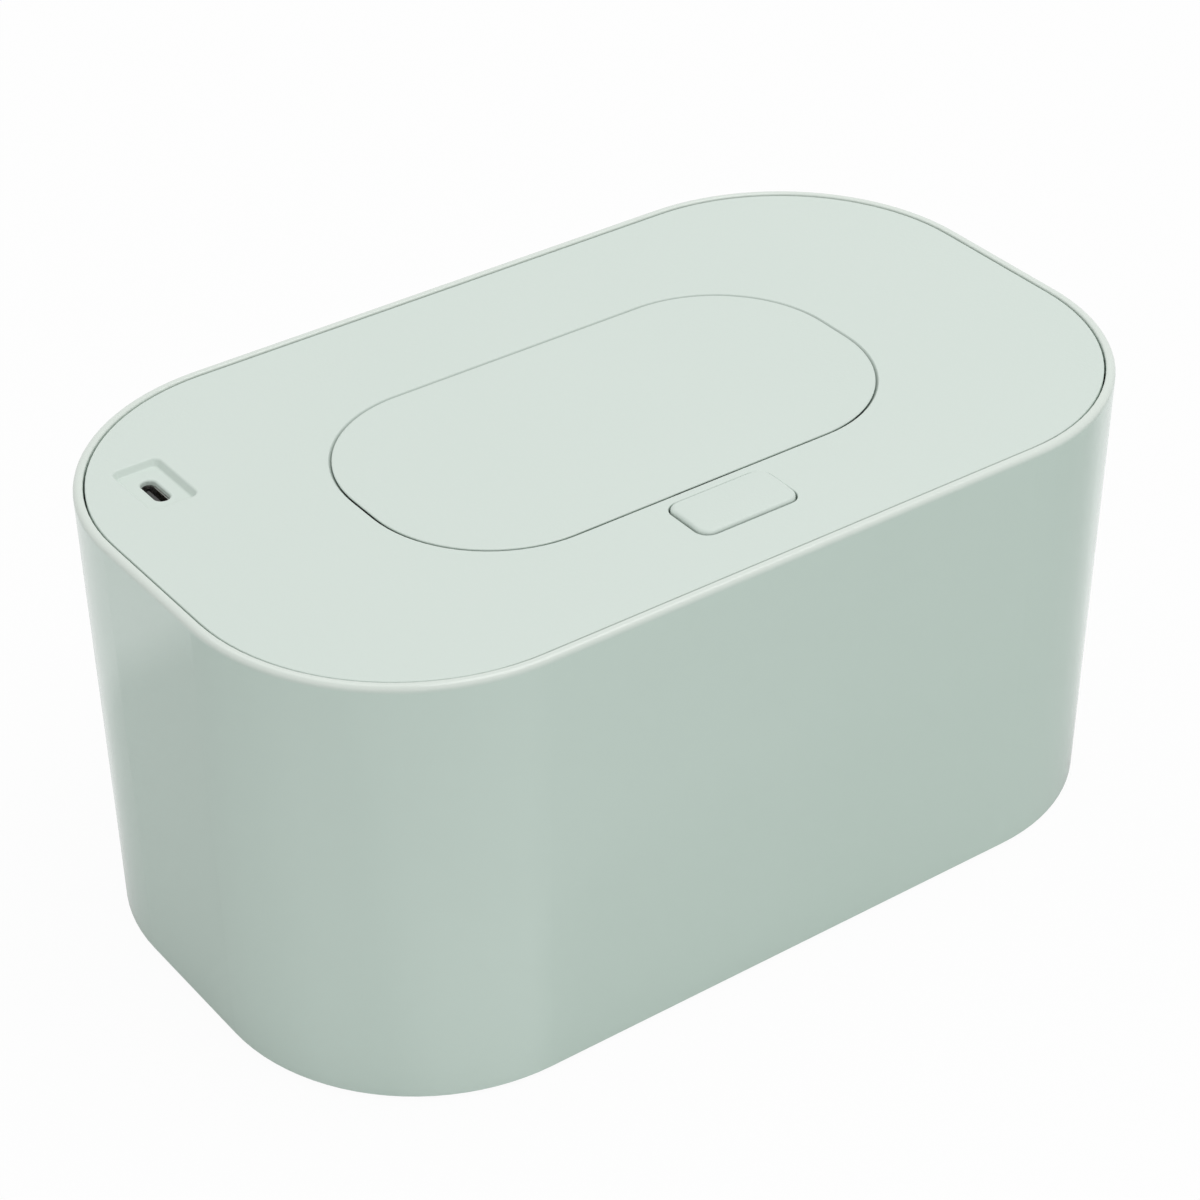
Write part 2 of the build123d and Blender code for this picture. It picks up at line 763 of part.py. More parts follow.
# Cover gasket: silicone ring in the bottom cover's groove, pressed on the tub's flange
with BuildPart() as cover_gasket:
    with BuildSketch(Plane.XY.offset(cover_bottom)):
        body_outline(cover_bottom, gasket_inset)
        body_outline(cover_bottom, gasket_inset + gasket_width, Mode.SUBTRACT)
    extrude(amount=gasket_depth)
cover_gasket.part.label = "cover_gasket"
export_step(cover_gasket.part, "parts/cover_gasket.step")

# Cover screws: from below, through the bottom cover into the top cover's bosses
with BuildPart() as cover_screws:
    with Locations(*[(x, y, cover_head_seat) for x, y in cover_screw_places]):
        add(pan_screw(screw_radius, screw_length, screw_head_radius, screw_head_height))
cover_screws.part.label = "cover_screws"
export_step(cover_screws.part, "parts/cover_screws.step")

# Heater plate: aluminium, hung under the bottom cover on heat-staked pins
with BuildPart() as heater_plate:
    with BuildSketch(Plane.XY.offset(heater_bottom)):
        body_outline(cover_bottom, heater_inset)
        lid_slot(
            throat_length + 2 * heater_hole_gap,
            throat_width + 2 * heater_hole_gap,
            Mode.SUBTRACT,
        )
        with Locations(*stake_places):
            Circle(stake_radius + stake_clearance, mode=Mode.SUBTRACT)
    extrude(amount=heater_thickness)
heater_plate.part.label = "heater_plate"
export_step(heater_plate.part, "parts/heater_plate.step")

# Heating film: the heating element, stuck on the plate's upper face
with BuildPart() as heating_film:
    with BuildSketch(Plane.XY.offset(film_bottom)):
        body_outline(cover_bottom, heater_inset + film_margin)
        lid_slot(
            throat_length + 2 * (heater_hole_gap + film_margin),
            throat_width + 2 * (heater_hole_gap + film_margin),
            Mode.SUBTRACT,
        )
        with Locations(*stake_places):
            Circle(stake_radius + stake_clearance, mode=Mode.SUBTRACT)
    extrude(amount=film_thickness)
heating_film.part.label = "heating_film"
export_step(heating_film.part, "parts/heating_film.step")

# Thermal fuse: lies on the film in the larger window of the bottom cover
with BuildPart() as thermal_fuse:
    fuse_height = cover_bottom + fuse_radius + sensor_lift
    with BuildSketch(Plane.XZ.offset(-(lid_y - fuse_length / 2))):
        with Locations((fuse_x, fuse_height)):
            Circle(fuse_radius)
    extrude(amount=-fuse_length)
    chamfer(thermal_fuse.edges().filter_by(GeomType.CIRCLE), fuse_chamfer)
thermal_fuse.part.label = "thermal_fuse"
export_step(thermal_fuse.part, "parts/thermal_fuse.step")

# Temperature sensor: a bead that stands on the film in the smaller window
with BuildPart() as temperature_sensor:
    with BuildSketch(Plane.XY.offset(cover_bottom)):
        with Locations((fuse_x, lid_y - sensor_offset)):
            Circle(sensor_radius)
    extrude(amount=sensor_height)
    fillet(temperature_sensor.faces().sort_by(Axis.Z)[-1].edges(), sensor_round)
temperature_sensor.part.label = "temperature_sensor"
export_step(temperature_sensor.part, "parts/temperature_sensor.step")

# Control board: hangs from three bosses of the top cover, beside the charging recess
with BuildPart() as control_board:
    with BuildSketch(Plane.XY.offset(inner_boss_bottom)):
        with Locations((board_x, board_y)):
            Rectangle(board_length, board_width)
        with Locations(*board_screw_places):
            Circle(small_clear_radius, mode=Mode.SUBTRACT)
    extrude(amount=-board_thickness)
    fillet(control_board.edges().filter_by(Axis.Z).filter_by(GeomType.LINE), board_corner)
control_board.part.label = "control_board"
export_step(control_board.part, "parts/control_board.step")

# Board parts: controller, power switch, coil and capacitor on the board's upper face
with BuildPart() as board_chips:
    with BuildSketch(Plane.XY.offset(inner_boss_bottom)):
        with Locations((board_x + chip_shift_x, board_y + chip_shift_y)):
            Rectangle(chip_size, chip_size)
        with Locations((board_x + switch_shift_x, board_y + chip_shift_y)):
            Rectangle(chip_size, switch_length)
    extrude(amount=chip_height)
    with BuildSketch(Plane.XY.offset(inner_boss_bottom)):
        with Locations((board_x, board_y + coil_shift_y)):
            RectangleRounded(coil_size, coil_size, coil_corner)
    extrude(amount=coil_height)
    with BuildSketch(Plane.XY.offset(inner_boss_bottom)):
        with Locations((board_x + chip_shift_x, board_y + capacitor_shift_y)):
            Circle(capacitor_radius)
    extrude(amount=capacitor_height)
board_chips.part.label = "board_chips"
export_step(board_chips.part, "parts/board_chips.step")

# Charging socket: steel shell, standing on the board under the slot in the recess
with BuildPart() as usb_socket:
    with BuildSketch(Plane.XY.offset(inner_boss_bottom)):
        with Locations((usb_x, usb_y)):
            SlotOverall(socket_length, socket_width, rotation=90)
            SlotOverall(
                socket_length - 2 * socket_wall,
                socket_width - 2 * socket_wall,
                rotation=90,
                mode=Mode.SUBTRACT,
            )
    extrude(amount=socket_top - inner_boss_bottom)
usb_socket.part.label = "usb_socket"
export_step(usb_socket.part, "parts/usb_socket.step")

# Socket tongue: the insulator that fills the foot of the shell and carries the contacts
with BuildPart() as usb_tongue:
    with BuildSketch(Plane.XY.offset(inner_boss_bottom)):
        with Locations((usb_x, usb_y)):
            SlotOverall(
                socket_length - 2 * socket_wall, socket_width - 2 * socket_wall, rotation=90
            )
    extrude(amount=tongue_foot)
    with BuildSketch(Plane.XY.offset(inner_boss_bottom)):
        with Locations((usb_x, usb_y)):
            Rectangle(tongue_thickness, tongue_length)
    extrude(amount=socket_top - inner_boss_bottom - tongue_thickness)
usb_tongue.part.label = "usb_tongue"
export_step(usb_tongue.part, "parts/usb_tongue.step")

# Dispensing tray: the well under the lid. A wall closes it against the top cover, a
# collar meets the lid's seal, pockets take the hinge arms and a throat leads the wipes up
pocket_inner_side = arm_width / 2 + ear_gap + ear_thickness + pocket_side_gap
pocket_outer_side = arm_width / 2 + spring_space + ear_thickness + pocket_side_gap
hinge_pocket_length = pocket_inner_side + pocket_outer_side
hinge_pocket_places = [
    (
        lid_x + side * (hinge_spacing / 2 + (pocket_outer_side - pocket_inner_side) / 2),
        hinge_y - pocket_front,
    )
    for side in hinge_sides
]
with BuildPart() as dispensing_tray:
    with BuildSketch(Plane.XY.offset(tray_floor_bottom)):
        lid_outline(opening_ledge - tray_wall)
    extrude(amount=cover_underside - tray_floor_bottom)
    with BuildSketch(Plane.XY.offset(cover_top - pocket_drop - tray_floor)):
        with Locations(*[(x, y - tray_wall) for x, y in hinge_pocket_places]):
            Rectangle(
                hinge_pocket_length + 2 * tray_wall,
                pocket_front + pocket_back + 2 * tray_wall,
                align=(Align.CENTER, Align.MIN),
            )
    extrude(amount=cover_underside - cover_top + pocket_drop + tray_floor)
    with BuildSketch(Plane.XY.offset(tray_floor_top)):
        lid_outline(opening_ledge)
    extrude(amount=cover_underside - tray_floor_top, mode=Mode.SUBTRACT)
    with BuildSketch(Plane.XY.offset(cover_top - pocket_drop)):
        with Locations(*hinge_pocket_places):
            Rectangle(
                hinge_pocket_length,
                pocket_front + pocket_back,
                align=(Align.CENTER, Align.MIN),
            )
    extrude(amount=cover_underside - cover_top + pocket_drop, mode=Mode.SUBTRACT)
    with BuildSketch(Plane.XY.offset(tray_floor_top)):
        with Locations((lid_x, lid_front - lid_gap - catch_clearance)):
            Rectangle(
                catch_width + 2 * catch_clearance,
                lid_inside + catch_clearance + lid_gap,
                align=(Align.CENTER, Align.MIN),
            )
    extrude(amount=cover_underside - tray_floor_top, mode=Mode.SUBTRACT)
    with BuildSketch(Plane.XY.offset(tray_floor_top)):
        lid_outline(collar_inset)
        lid_outline(collar_inset + collar_wall, Mode.SUBTRACT)
    extrude(amount=collar_top - tray_floor_top)
    with BuildSketch(Plane.XY.offset(tray_floor_bottom)):
        for lug_x, lug_y in tray_lug_places:
            with Locations((lug_x, lug_y)):
                Circle(lug_radius)
            with Locations((lug_x, lug_y - math.copysign(lug_reach / 2, lug_y))):
                Rectangle(2 * lug_radius, lug_reach)
    extrude(amount=tray_floor)
    with BuildSketch(Plane.XY.offset(tray_floor_bottom)):
        with Locations(*tray_lug_places):
            Circle(small_clear_radius)
    extrude(amount=tray_floor, mode=Mode.SUBTRACT)
    with BuildSketch(Plane.XY.offset(cover_bottom)):
        lid_slot(throat_length, throat_width)
        lid_slot(
            throat_length - 2 * throat_wall, throat_width - 2 * throat_wall, Mode.SUBTRACT
        )
    extrude(amount=tray_floor_bottom - cover_bottom)
    with BuildSketch(Plane.XY.offset(tray_floor_top)):
        lid_slot(gate_length + 2 * gate_flange, gate_width + 2 * gate_flange)
    extrude(amount=-gate_thickness / 2, mode=Mode.SUBTRACT)
    with BuildSketch(Plane.XY.offset(tray_floor_bottom)):
        lid_slot(gate_length, gate_width)
    extrude(amount=tray_floor, mode=Mode.SUBTRACT)
dispensing_tray.part.label = "dispensing_tray"
export_step(dispensing_tray.part, "parts/dispensing_tray.step")

# Wipe gate: silicone funnel with an open slot, its flange seated round the tray's opening
gate_seat = tray_floor_top - gate_thickness / 2
with BuildPart() as wipe_gate:
    with BuildSketch(Plane.XY.offset(gate_seat)):
        lid_slot(
            gate_length + 2 * (gate_flange - gate_clearance),
            gate_width + 2 * (gate_flange - gate_clearance),
        )
    extrude(amount=gate_thickness)
    with BuildSketch(Plane.XY.offset(gate_seat)):
        lid_slot(gate_length - 2 * gate_clearance, gate_width - 2 * gate_clearance)
    extrude(amount=-gate_depth, taper=gate_slope)
    with BuildSketch(Plane.XY.offset(gate_seat + gate_thickness)):
        lid_slot(gate_length - 2 * gate_clearance, gate_width - 2 * gate_clearance)
    extrude(amount=-gate_depth, taper=gate_slope, mode=Mode.SUBTRACT)
    with BuildSketch(Plane.XY.offset(gate_seat + gate_thickness - gate_depth)):
        slope_inset = gate_clearance + gate_depth * math.tan(math.radians(gate_slope))
        lid_slot(gate_length - 2 * slope_inset, gate_width - 2 * slope_inset)
    extrude(amount=-gate_depth, mode=Mode.SUBTRACT)
wipe_gate.part.label = "wipe_gate"
export_step(wipe_gate.part, "parts/wipe_gate.step")

# Latch carrier: bracket under the button, with rails for the latch, holes that guide the
# button's posts and a front wall that the latch's leaf springs push against
carrier_half = post_spacing / 2 + post_radius + guide_clearance + carrier_wall
rail_middle = latch_width / 2 + guide_clearance + carrier_wall / 2
with BuildPart() as latch_carrier:
    with BuildSketch(Plane.XY.offset(inner_boss_bottom)):
        with Locations((button_x, carrier_front - carrier_wall)):
            Rectangle(
                2 * carrier_half,
                latch_back - carrier_front + carrier_wall,
                align=(Align.CENTER, Align.MIN),
            )
        with Locations((button_x, button_y)):
            Rectangle(carrier_lug_spacing, 2 * lug_radius)
        with Locations(*carrier_lug_places):
            Circle(lug_radius)
            Circle(small_clear_radius, mode=Mode.SUBTRACT)
        with Locations((button_x, button_y - post_offset)):
            with GridLocations(post_spacing, 0, 2, 1):
                Circle(post_radius + guide_clearance, mode=Mode.SUBTRACT)
    extrude(amount=-carrier_floor)
    with BuildSketch(Plane.XY.offset(inner_boss_bottom)):
        with Locations((button_x, carrier_front)):
            Rectangle(2 * carrier_half, carrier_wall, align=(Align.CENTER, Align.MAX))
        with Locations((button_x, latch_back - carrier_rail_length / 2)):
            with GridLocations(2 * rail_middle, 0, 2, 1):
                Rectangle(carrier_wall, carrier_rail_length)
    extrude(amount=cover_top - carrier_rail_drop - inner_boss_bottom)
latch_carrier.part.label = "latch_carrier"
export_step(latch_carrier.part, "parts/latch_carrier.step")

# Inner screws: hold the tray, the latch carrier and the board up to the top cover
with BuildPart() as inner_screws:
    small_screw = pan_screw(
        small_screw_radius,
        small_screw_length,
        small_screw_head_radius,
        small_screw_head_height,
    )
    with Locations(
        *[(x, y, tray_floor_bottom) for x, y in tray_lug_places + carrier_lug_places],
        *[(x, y, board_bottom) for x, y in board_screw_places],
    ):
        add(small_screw)
inner_screws.part.label = "inner_screws"
export_step(inner_screws.part, "parts/inner_screws.step")

# Latch: one springy moulding. Its nose hooks over the lid's catch, its sloped crossbar is
# pushed forward by the button's wedges and two bowed leaves at the front push it back
ramp_top = button_y + blade_front + cover_top - blade_drop - latch_top - wedge_clearance
leaf_end = carrier_front + latch_leaf_gap + latch_leaf
leaf_middle = latch_front + latch_leaf_share * (leaf_end - latch_front)
with BuildPart() as latch_slide:
    with BuildSketch(Plane.XY.offset(latch_bottom)):
        with Locations((button_x, latch_back)):
            Rectangle(
                latch_width, latch_back - latch_front, align=(Align.CENTER, Align.MAX)
            )
        with Locations((button_x, latch_back - latch_bar)):
            Rectangle(
                latch_width - 2 * latch_rail,
                latch_body - latch_bar,
                align=(Align.CENTER, Align.MAX),
                mode=Mode.SUBTRACT,
            )
    extrude(amount=latch_top - latch_bottom)
    with BuildSketch(Plane.YZ.offset(button_x - latch_width / 2 + latch_rail)):
        with BuildLine():
            Polyline(
                (latch_front + latch_bar, latch_bottom),
                (latch_front + latch_bar, latch_top),
                (ramp_top, latch_top),
                (ramp_top + latch_top - latch_bottom, latch_bottom),
                close=True,
            )
        make_face()
    extrude(amount=latch_width - 2 * latch_rail)
    with BuildSketch(Plane.XY.offset(latch_nose_bottom)):
        with Locations((button_x, latch_back - latch_bar / 2)):
            Rectangle(
                latch_nose_width,
                latch_tip - latch_back + latch_bar / 2,
                align=(Align.CENTER, Align.MIN),
            )
    extrude(amount=latch_nose_thickness)
    nose_edge = (
        latch_slide.edges().filter_by(Axis.X).group_by(Axis.Y)[-1].sort_by(Axis.Z)[-1]
    )
    chamfer(nose_edge, latch_nose_chamfer)
    with BuildSketch(Plane.XY.offset(latch_bottom)):
        for side in (-1, 1):
            with BuildLine():
                ThreePointArc(
                    (button_x + side * latch_leaf_root, latch_front),
                    (button_x + side * latch_leaf_bow, leaf_middle),
                    (button_x + side * latch_leaf_tip, leaf_end),
                )
            trace(line_width=latch_leaf)
    extrude(amount=latch_leaf_height)
latch_slide.part.label = "latch_slide"
export_step(latch_slide.part, "parts/latch_slide.step")

# Push button: crowned cap with a retaining flange, two guide posts and two 45 degree wedges
with BuildPart() as button_crown_block:
    with BuildSketch(Plane.YZ.offset(button_x - pocket_length)):
        with Locations((button_y, cover_top + button_crown - button_crown_radius)):
            Circle(button_crown_radius)
    extrude(amount=2 * pocket_length)

wedge_bottom = cover_top - blade_drop - wedge_height
with BuildPart() as push_button:
    with BuildSketch(Plane.XY.offset(cover_top - button_skirt)):
        with Locations((button_x, button_y)):
            RectangleRounded(
                pocket_length - 2 * button_gap,
                pocket_width - 2 * button_gap,
                pocket_radius - button_gap,
            )
    extrude(amount=button_skirt + 2 * button_crown)
    add(button_crown_block.part, mode=Mode.INTERSECT)
    fillet(push_button.faces().sort_by(Axis.Z)[-1].edges(), button_edge_round)
    with BuildSketch(Plane.XY.offset(cover_top - button_skirt)):
        with Locations((button_x, button_y)):
            RectangleRounded(
                pocket_length + 2 * button_flange,
                pocket_width + 2 * button_flange,
                pocket_radius + button_flange,
            )
    extrude(amount=button_flange_thickness)
    with BuildSketch(Plane.XY.offset(cover_top - button_skirt)):
        with Locations((button_x, button_y)):
            RectangleRounded(
                pocket_length - 2 * (button_gap + button_wall),
                pocket_width - 2 * (button_gap + button_wall),
                pocket_radius - button_gap - button_wall,
            )
    extrude(amount=button_skirt - button_wall, mode=Mode.SUBTRACT)
    with BuildSketch(Plane.XY.offset(cover_top - button_wall)):
        with Locations((button_x, button_y - post_offset)):
            with GridLocations(post_spacing, 0, 2, 1):
                Circle(post_radius)
    extrude(amount=button_wall - post_reach - button_skirt)
    for side in (-1, 1):
        blade_x = button_x + side * blade_spacing / 2 - blade_thickness / 2
        with BuildSketch(Plane.YZ.offset(blade_x)):
            with BuildLine():
                Polyline(
                    (button_y + blade_front, cover_top - button_wall),
                    (button_y + blade_front, cover_top - blade_drop),
                    (button_y + blade_front + wedge_height, wedge_bottom),
                    (button_y + blade_back, wedge_bottom),
                    (button_y + blade_back, cover_top - button_wall),
                    close=True,
                )
            make_face()
        extrude(amount=blade_thickness)
push_button.part.label = "push_button"
export_step(push_button.part, "parts/push_button.step")

# Lid: bevelled plate with two gooseneck arms, ribs that hold the seal and a front catch
with BuildPart() as lid:
    with BuildSketch(Plane.XY.offset(cover_top)):
        lid_outline(0)
    extrude(amount=-cover_plate, taper=lid_bevel)
    fillet(lid.faces().sort_by(Axis.Z)[-1].edges(), lid_edge_round)
    with BuildSketch(Plane.XY.offset(cover_underside)):
        lid_outline(seal_inset - seal_rib)
        lid_outline(seal_inset, Mode.SUBTRACT)
        lid_outline(seal_inset + seal_width)
        lid_outline(seal_inset + seal_width + seal_rib, Mode.SUBTRACT)
    extrude(amount=-seal_rib_height)
    for side in hinge_sides:
        with BuildSketch(
            Plane.YZ.offset(lid_x + side * hinge_spacing / 2 - arm_width / 2)
        ):
            with BuildLine():
                outer_arc = ThreePointArc(
                    hinge_point(arm_outer_radius, arm_start_angle),
                    hinge_point(arm_outer_radius, (arm_start_angle + arm_end_angle) / 2),
                    hinge_point(arm_outer_radius, arm_end_angle),
                )
                inner_arc = ThreePointArc(
                    hinge_point(arm_inner_radius, arm_start_angle),
                    hinge_point(arm_inner_radius, (arm_start_angle + arm_end_angle) / 2),
                    hinge_point(arm_inner_radius, arm_end_angle),
                )
                Line(outer_arc @ 0, inner_arc @ 0)
                Line(outer_arc @ 1, inner_arc @ 1)
            make_face()
            with Locations((hinge_y, hinge_z)):
                Rectangle(
                    (arm_inner_radius + arm_outer_radius) / 2,
                    arm_link_thickness,
                    rotation=180 - arm_start_angle,
                    align=(Align.MIN, Align.CENTER),
                )
                Circle(knuckle_radius)
                Circle(pin_radius + pin_clearance, mode=Mode.SUBTRACT)
        extrude(amount=arm_width)
    with BuildSketch(Plane.YZ.offset(lid_x - catch_width / 2)):
        with BuildLine():
            Polyline(
                (catch_face, cover_underside + lid_gap),
                (catch_face, catch_bottom + catch_lip_thickness),
                (catch_lip_front, catch_bottom + catch_lip_thickness),
                (catch_lip_front, catch_bottom + catch_lip_thickness / 2),
                (catch_lip_front + catch_lip_thickness / 2, catch_bottom),
                (catch_face + catch_thickness, catch_bottom),
                (catch_face + catch_thickness, cover_underside + lid_gap),
                close=True,
            )
        make_face()
    extrude(amount=catch_width)
lid.part.label = "lid"
export_step(lid.part, "parts/lid.step")

# Lid seal: silicone ring held between the lid's two ribs, above the tray's collar
with BuildPart() as lid_seal:
    with BuildSketch(Plane.XY.offset(cover_underside)):
        lid_outline(seal_inset)
        lid_outline(seal_inset + seal_width, Mode.SUBTRACT)
    extrude(amount=-seal_height)
    chamfer(lid_seal.faces().sort_by(Axis.Z)[0].edges(), seal_chamfer)
lid_seal.part.label = "lid_seal"
export_step(lid_seal.part, "parts/lid_seal.step")

# Hinge pins: one steel pin for each arm, from ear to ear
pin_length = arm_width + ear_gap + spring_space + 2 * ear_thickness
with BuildPart() as hinge_pins:
    for side in hinge_sides:
        pin_start = lid_x + side * (
            hinge_spacing / 2 - arm_width / 2 - ear_gap - ear_thickness
        )
        with BuildSketch(Plane.YZ.offset(pin_start)):
            with Locations((hinge_y, hinge_z)):
                Circle(pin_radius)
        extrude(amount=side * pin_length)
    chamfer(hinge_pins.edges().filter_by(GeomType.CIRCLE), pin_chamfer)
hinge_pins.part.label = "hinge_pins"
export_step(hinge_pins.part, "parts/hinge_pins.step")

# Torsion spring: wound on the left hinge pin, one leg on the pocket's back, one on the arm
spring_radius = pin_radius + spring_clearance + spring_wire / 2
spring_pitch = spring_wire + spring_clearance / 2
spring_start = lid_x - hinge_spacing / 2 - arm_width / 2 - spring_clearance - spring_wire
with BuildPart() as torsion_spring:
    with BuildLine() as spring_line:
        coil = Helix(
            spring_pitch,
            spring_pitch * spring_turns,
            spring_radius,
            center=(spring_start, hinge_y, hinge_z),
            direction=(-1, 0, 0),
        )
        Line(coil @ 0 - coil % 0 * spring_leg, coil @ 0)
        Line(coil @ 1, coil @ 1 + coil % 1 * spring_leg)
    with BuildSketch(spring_line.line ^ 0):
        Circle(spring_wire / 2)
    sweep(path=spring_line.line, is_frenet=True)
torsion_spring.part.label = "torsion_spring"
export_step(torsion_spring.part, "parts/torsion_spring.step")

# Heater leads: two insulated wires from the board's underside to the film's solder pads
with BuildPart() as heater_leads:
    for side in (-1, 1):
        pad_x = board_x + lead_pad_x + side * 2 * lead_radius
        pad_y = board_y + lead_pad_y
        end_x = fuse_x + side * (fuse_radius + lead_radius + lead_gap)
        lead_points = [
            Vector(pad_x, pad_y, board_bottom),
            Vector(pad_x, pad_y, board_bottom - lead_tail),
            Vector(pad_x + lead_lean, pad_y - lead_step, board_bottom - lead_tail - lead_sag),
            Vector(end_x - lead_lean, lid_y + lead_step, cover_bottom + lead_tail + lead_sag),
            Vector(end_x, lid_y, cover_bottom + lead_tail),
            Vector(end_x, lid_y, cover_bottom),
        ]
        lead_radii = bend_radii(lead_points)
        print("lead bend radii", [round(radius, 2) for radius in lead_radii])
        with BuildLine() as lead_line:
            FilletPolyline(*lead_points, radius=lead_radii)
        with BuildSketch(lead_line.line ^ 0):
            Circle(lead_radius)
        sweep(path=lead_line.line)
        print("lead length", round(lead_line.wire().length, 2))
heater_leads.part.label = "heater_leads"
print("leads volume", round(heater_leads.part.volume, 2))
export_step(heater_leads.part, "parts/heater_leads.step")
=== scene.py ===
import math
import bmesh
import bpy
from mathutils import Matrix, Vector


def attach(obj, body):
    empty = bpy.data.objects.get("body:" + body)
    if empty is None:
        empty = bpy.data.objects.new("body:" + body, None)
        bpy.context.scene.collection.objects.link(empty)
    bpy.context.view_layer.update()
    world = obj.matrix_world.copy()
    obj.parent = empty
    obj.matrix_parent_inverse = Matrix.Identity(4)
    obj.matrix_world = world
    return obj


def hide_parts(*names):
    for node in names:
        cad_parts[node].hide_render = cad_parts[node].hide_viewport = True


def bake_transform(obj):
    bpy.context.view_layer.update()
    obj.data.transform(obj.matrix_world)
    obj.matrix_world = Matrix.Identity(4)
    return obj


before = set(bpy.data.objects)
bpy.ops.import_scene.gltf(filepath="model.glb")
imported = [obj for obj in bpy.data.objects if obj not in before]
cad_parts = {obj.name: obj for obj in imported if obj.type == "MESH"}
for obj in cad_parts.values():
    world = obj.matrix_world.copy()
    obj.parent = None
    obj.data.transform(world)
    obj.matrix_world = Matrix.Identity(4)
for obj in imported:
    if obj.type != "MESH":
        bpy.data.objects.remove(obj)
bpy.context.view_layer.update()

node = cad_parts
mm = 0.001


# ---- Outer shell ---------------------------------------------------------------------
# A drafted tube injection-moulded in pale mint ABS, glossy from a polished cavity, with
# a paler painted highlight round its rim. Everything else hangs in it or is clamped
# from below.
class Amount:
    """A number that varies over a surface, so that its maths reads as Python."""

    def __init__(self, nodes, socket):
        self.nodes = nodes
        self.socket = socket

    def __add__(self, other):
        return self.nodes.maths("ADD", self, other)

    def __sub__(self, other):
        return self.nodes.maths("SUBTRACT", self, other)

    def __rsub__(self, other):
        return self.nodes.maths("SUBTRACT", other, self)

    def __mul__(self, other):
        return self.nodes.maths("MULTIPLY", self, other)

    def __truediv__(self, other):
        return self.nodes.maths("DIVIDE", self, other)

    def __rtruediv__(self, other):
        return self.nodes.maths("DIVIDE", other, self)

    def __gt__(self, other):
        return self.nodes.maths("GREATER_THAN", self, other)

    def __lt__(self, other):
        return self.nodes.maths("LESS_THAN", self, other)

    __radd__ = __add__
    __rmul__ = __mul__


class Nodes:
    """Writes nodes into one tree, each with its settings first and then its inputs."""

    def __init__(self, tree):
        self.tree = tree

    def add(self, kind, settings=None, inputs=None):
        made = self.tree.nodes.new(kind)
        for name, setting in (settings or {}).items():
            if name == "stops":
                marks = made.color_ramp.elements
                while len(marks) < len(setting):
                    marks.new(1.0)
                for mark, (position, level) in zip(marks, setting):
                    mark.position = position
                    mark.color = (level, level, level, 1)
            else:
                setattr(made, name, setting)
        for name, value in (inputs or {}).items():
            for source in value if isinstance(value, list) else [value]:
                if isinstance(source, Amount):
                    source = source.socket
                if isinstance(source, bpy.types.NodeSocket):
                    self.tree.links.new(source, made.inputs[name])
                else:
                    made.inputs[name].default_value = source
        return made

    def maths(self, operation, *values):
        settings = {"operation": operation}
        made = self.add("ShaderNodeMath", settings, dict(enumerate(values)))
        return Amount(self, made.outputs[0])


class Finish(Nodes):
    """A procedural surface: a material, its shader and the nodes that feed it."""

    noise_span = (0.3, 0.7)

    def __init__(self, name, colour, roughness, **constants):
        self.material = bpy.data.materials.new(name)
        self.material.use_nodes = True
        self.material.diffuse_color = (*colour, 1)
        super().__init__(self.material.node_tree)
        self.shader = self.tree.nodes["Principled BSDF"]
        self.shader.inputs["Base Color"].default_value = (*colour, 1)
        self.shader.inputs["Roughness"].default_value = roughness
        for socket, constant in constants.items():
            self.shader.inputs[socket.replace("_", " ")].default_value = constant
        self.place = self.add("ShaderNodeTexCoord").outputs["Object"]
        self.ground = colour

    def noise(self, size, detail=2.0, stretch=(1, 1, 1)):
        """Cloudy noise with features of about the given size, stretched per axis."""
        scale = tuple(1 / (size * factor) for factor in stretch)
        inputs = {"Vector": self.place, "Scale": scale}
        spread = self.add("ShaderNodeMapping", None, inputs)
        inputs = {"Vector": spread.outputs[0], "Scale": 1.0, "Detail": detail}
        return Amount(self, self.add("ShaderNodeTexNoise", None, inputs).outputs[0])

    def cells(self, size):
        """Distance within a pattern of random cells of about the given size."""
        inputs = {"Vector": self.place, "Scale": 1 / size}
        made = self.add("ShaderNodeTexVoronoi", None, inputs)
        return Amount(self, made.outputs["Distance"])

    def axes(self):
        """The place on the object along X, Y and Z."""
        split = self.add("ShaderNodeSeparateXYZ", None, {0: self.place})
        return [Amount(self, socket) for socket in split.outputs]

    def range(self, amount, low, high, to_low=0, to_high=1):
        """Maps an amount from one range to another, held at both ends."""
        inputs = {0: amount, 1: low, 2: high, 3: to_low, 4: to_high}
        return Amount(self, self.add("ShaderNodeMapRange", None, inputs).outputs[0])

    def roughness(self, grain, smooth, rough):
        """Lets the roughness follow a grain over the span that its noise covers."""
        return self.range(grain, *self.noise_span, smooth, rough)

    def tint(self, amount, colour, other):
        """Blends two colours by an amount; either may be an earlier blend."""
        ends = [
            shade if isinstance(shade, bpy.types.NodeSocket) else (*shade, 1)
            for shade in (colour, other)
        ]
        inputs = {0: amount, 6: ends[0], 7: ends[1]}
        return self.add("ShaderNodeMix", {"data_type": "RGBA"}, inputs).outputs[2]

    def mottle(self, clouds, thin, thick, shade):
        """The finish's own colour, turning to a shade where its clouds are thick."""
        return self.tint(self.range(clouds, thin, thick), self.ground, shade)

    def use(self, **links):
        """Feeds the shader's sockets that vary over the surface."""
        for socket, value in links.items():
            source = value.socket if isinstance(value, Amount) else value
            self.tree.links.new(source, self.shader.inputs[socket.replace("_", " ")])

    def relief(self, height, depth, below=None):
        """Turns a height into a bump of that depth in metres, over an earlier bump."""
        inputs = {"Height": height, "Distance": depth, "Strength": 1.0}
        if below is not None:
            inputs["Normal"] = below
        made = self.add("ShaderNodeBump", None, inputs)
        self.use(Normal=made.outputs[0])
        return made.outputs[0]


def dress(finish, *names):
    """Gives CAD nodes their finish."""
    for name in names:
        node[name].data.materials.clear()
        node[name].data.materials.append(finish.material)


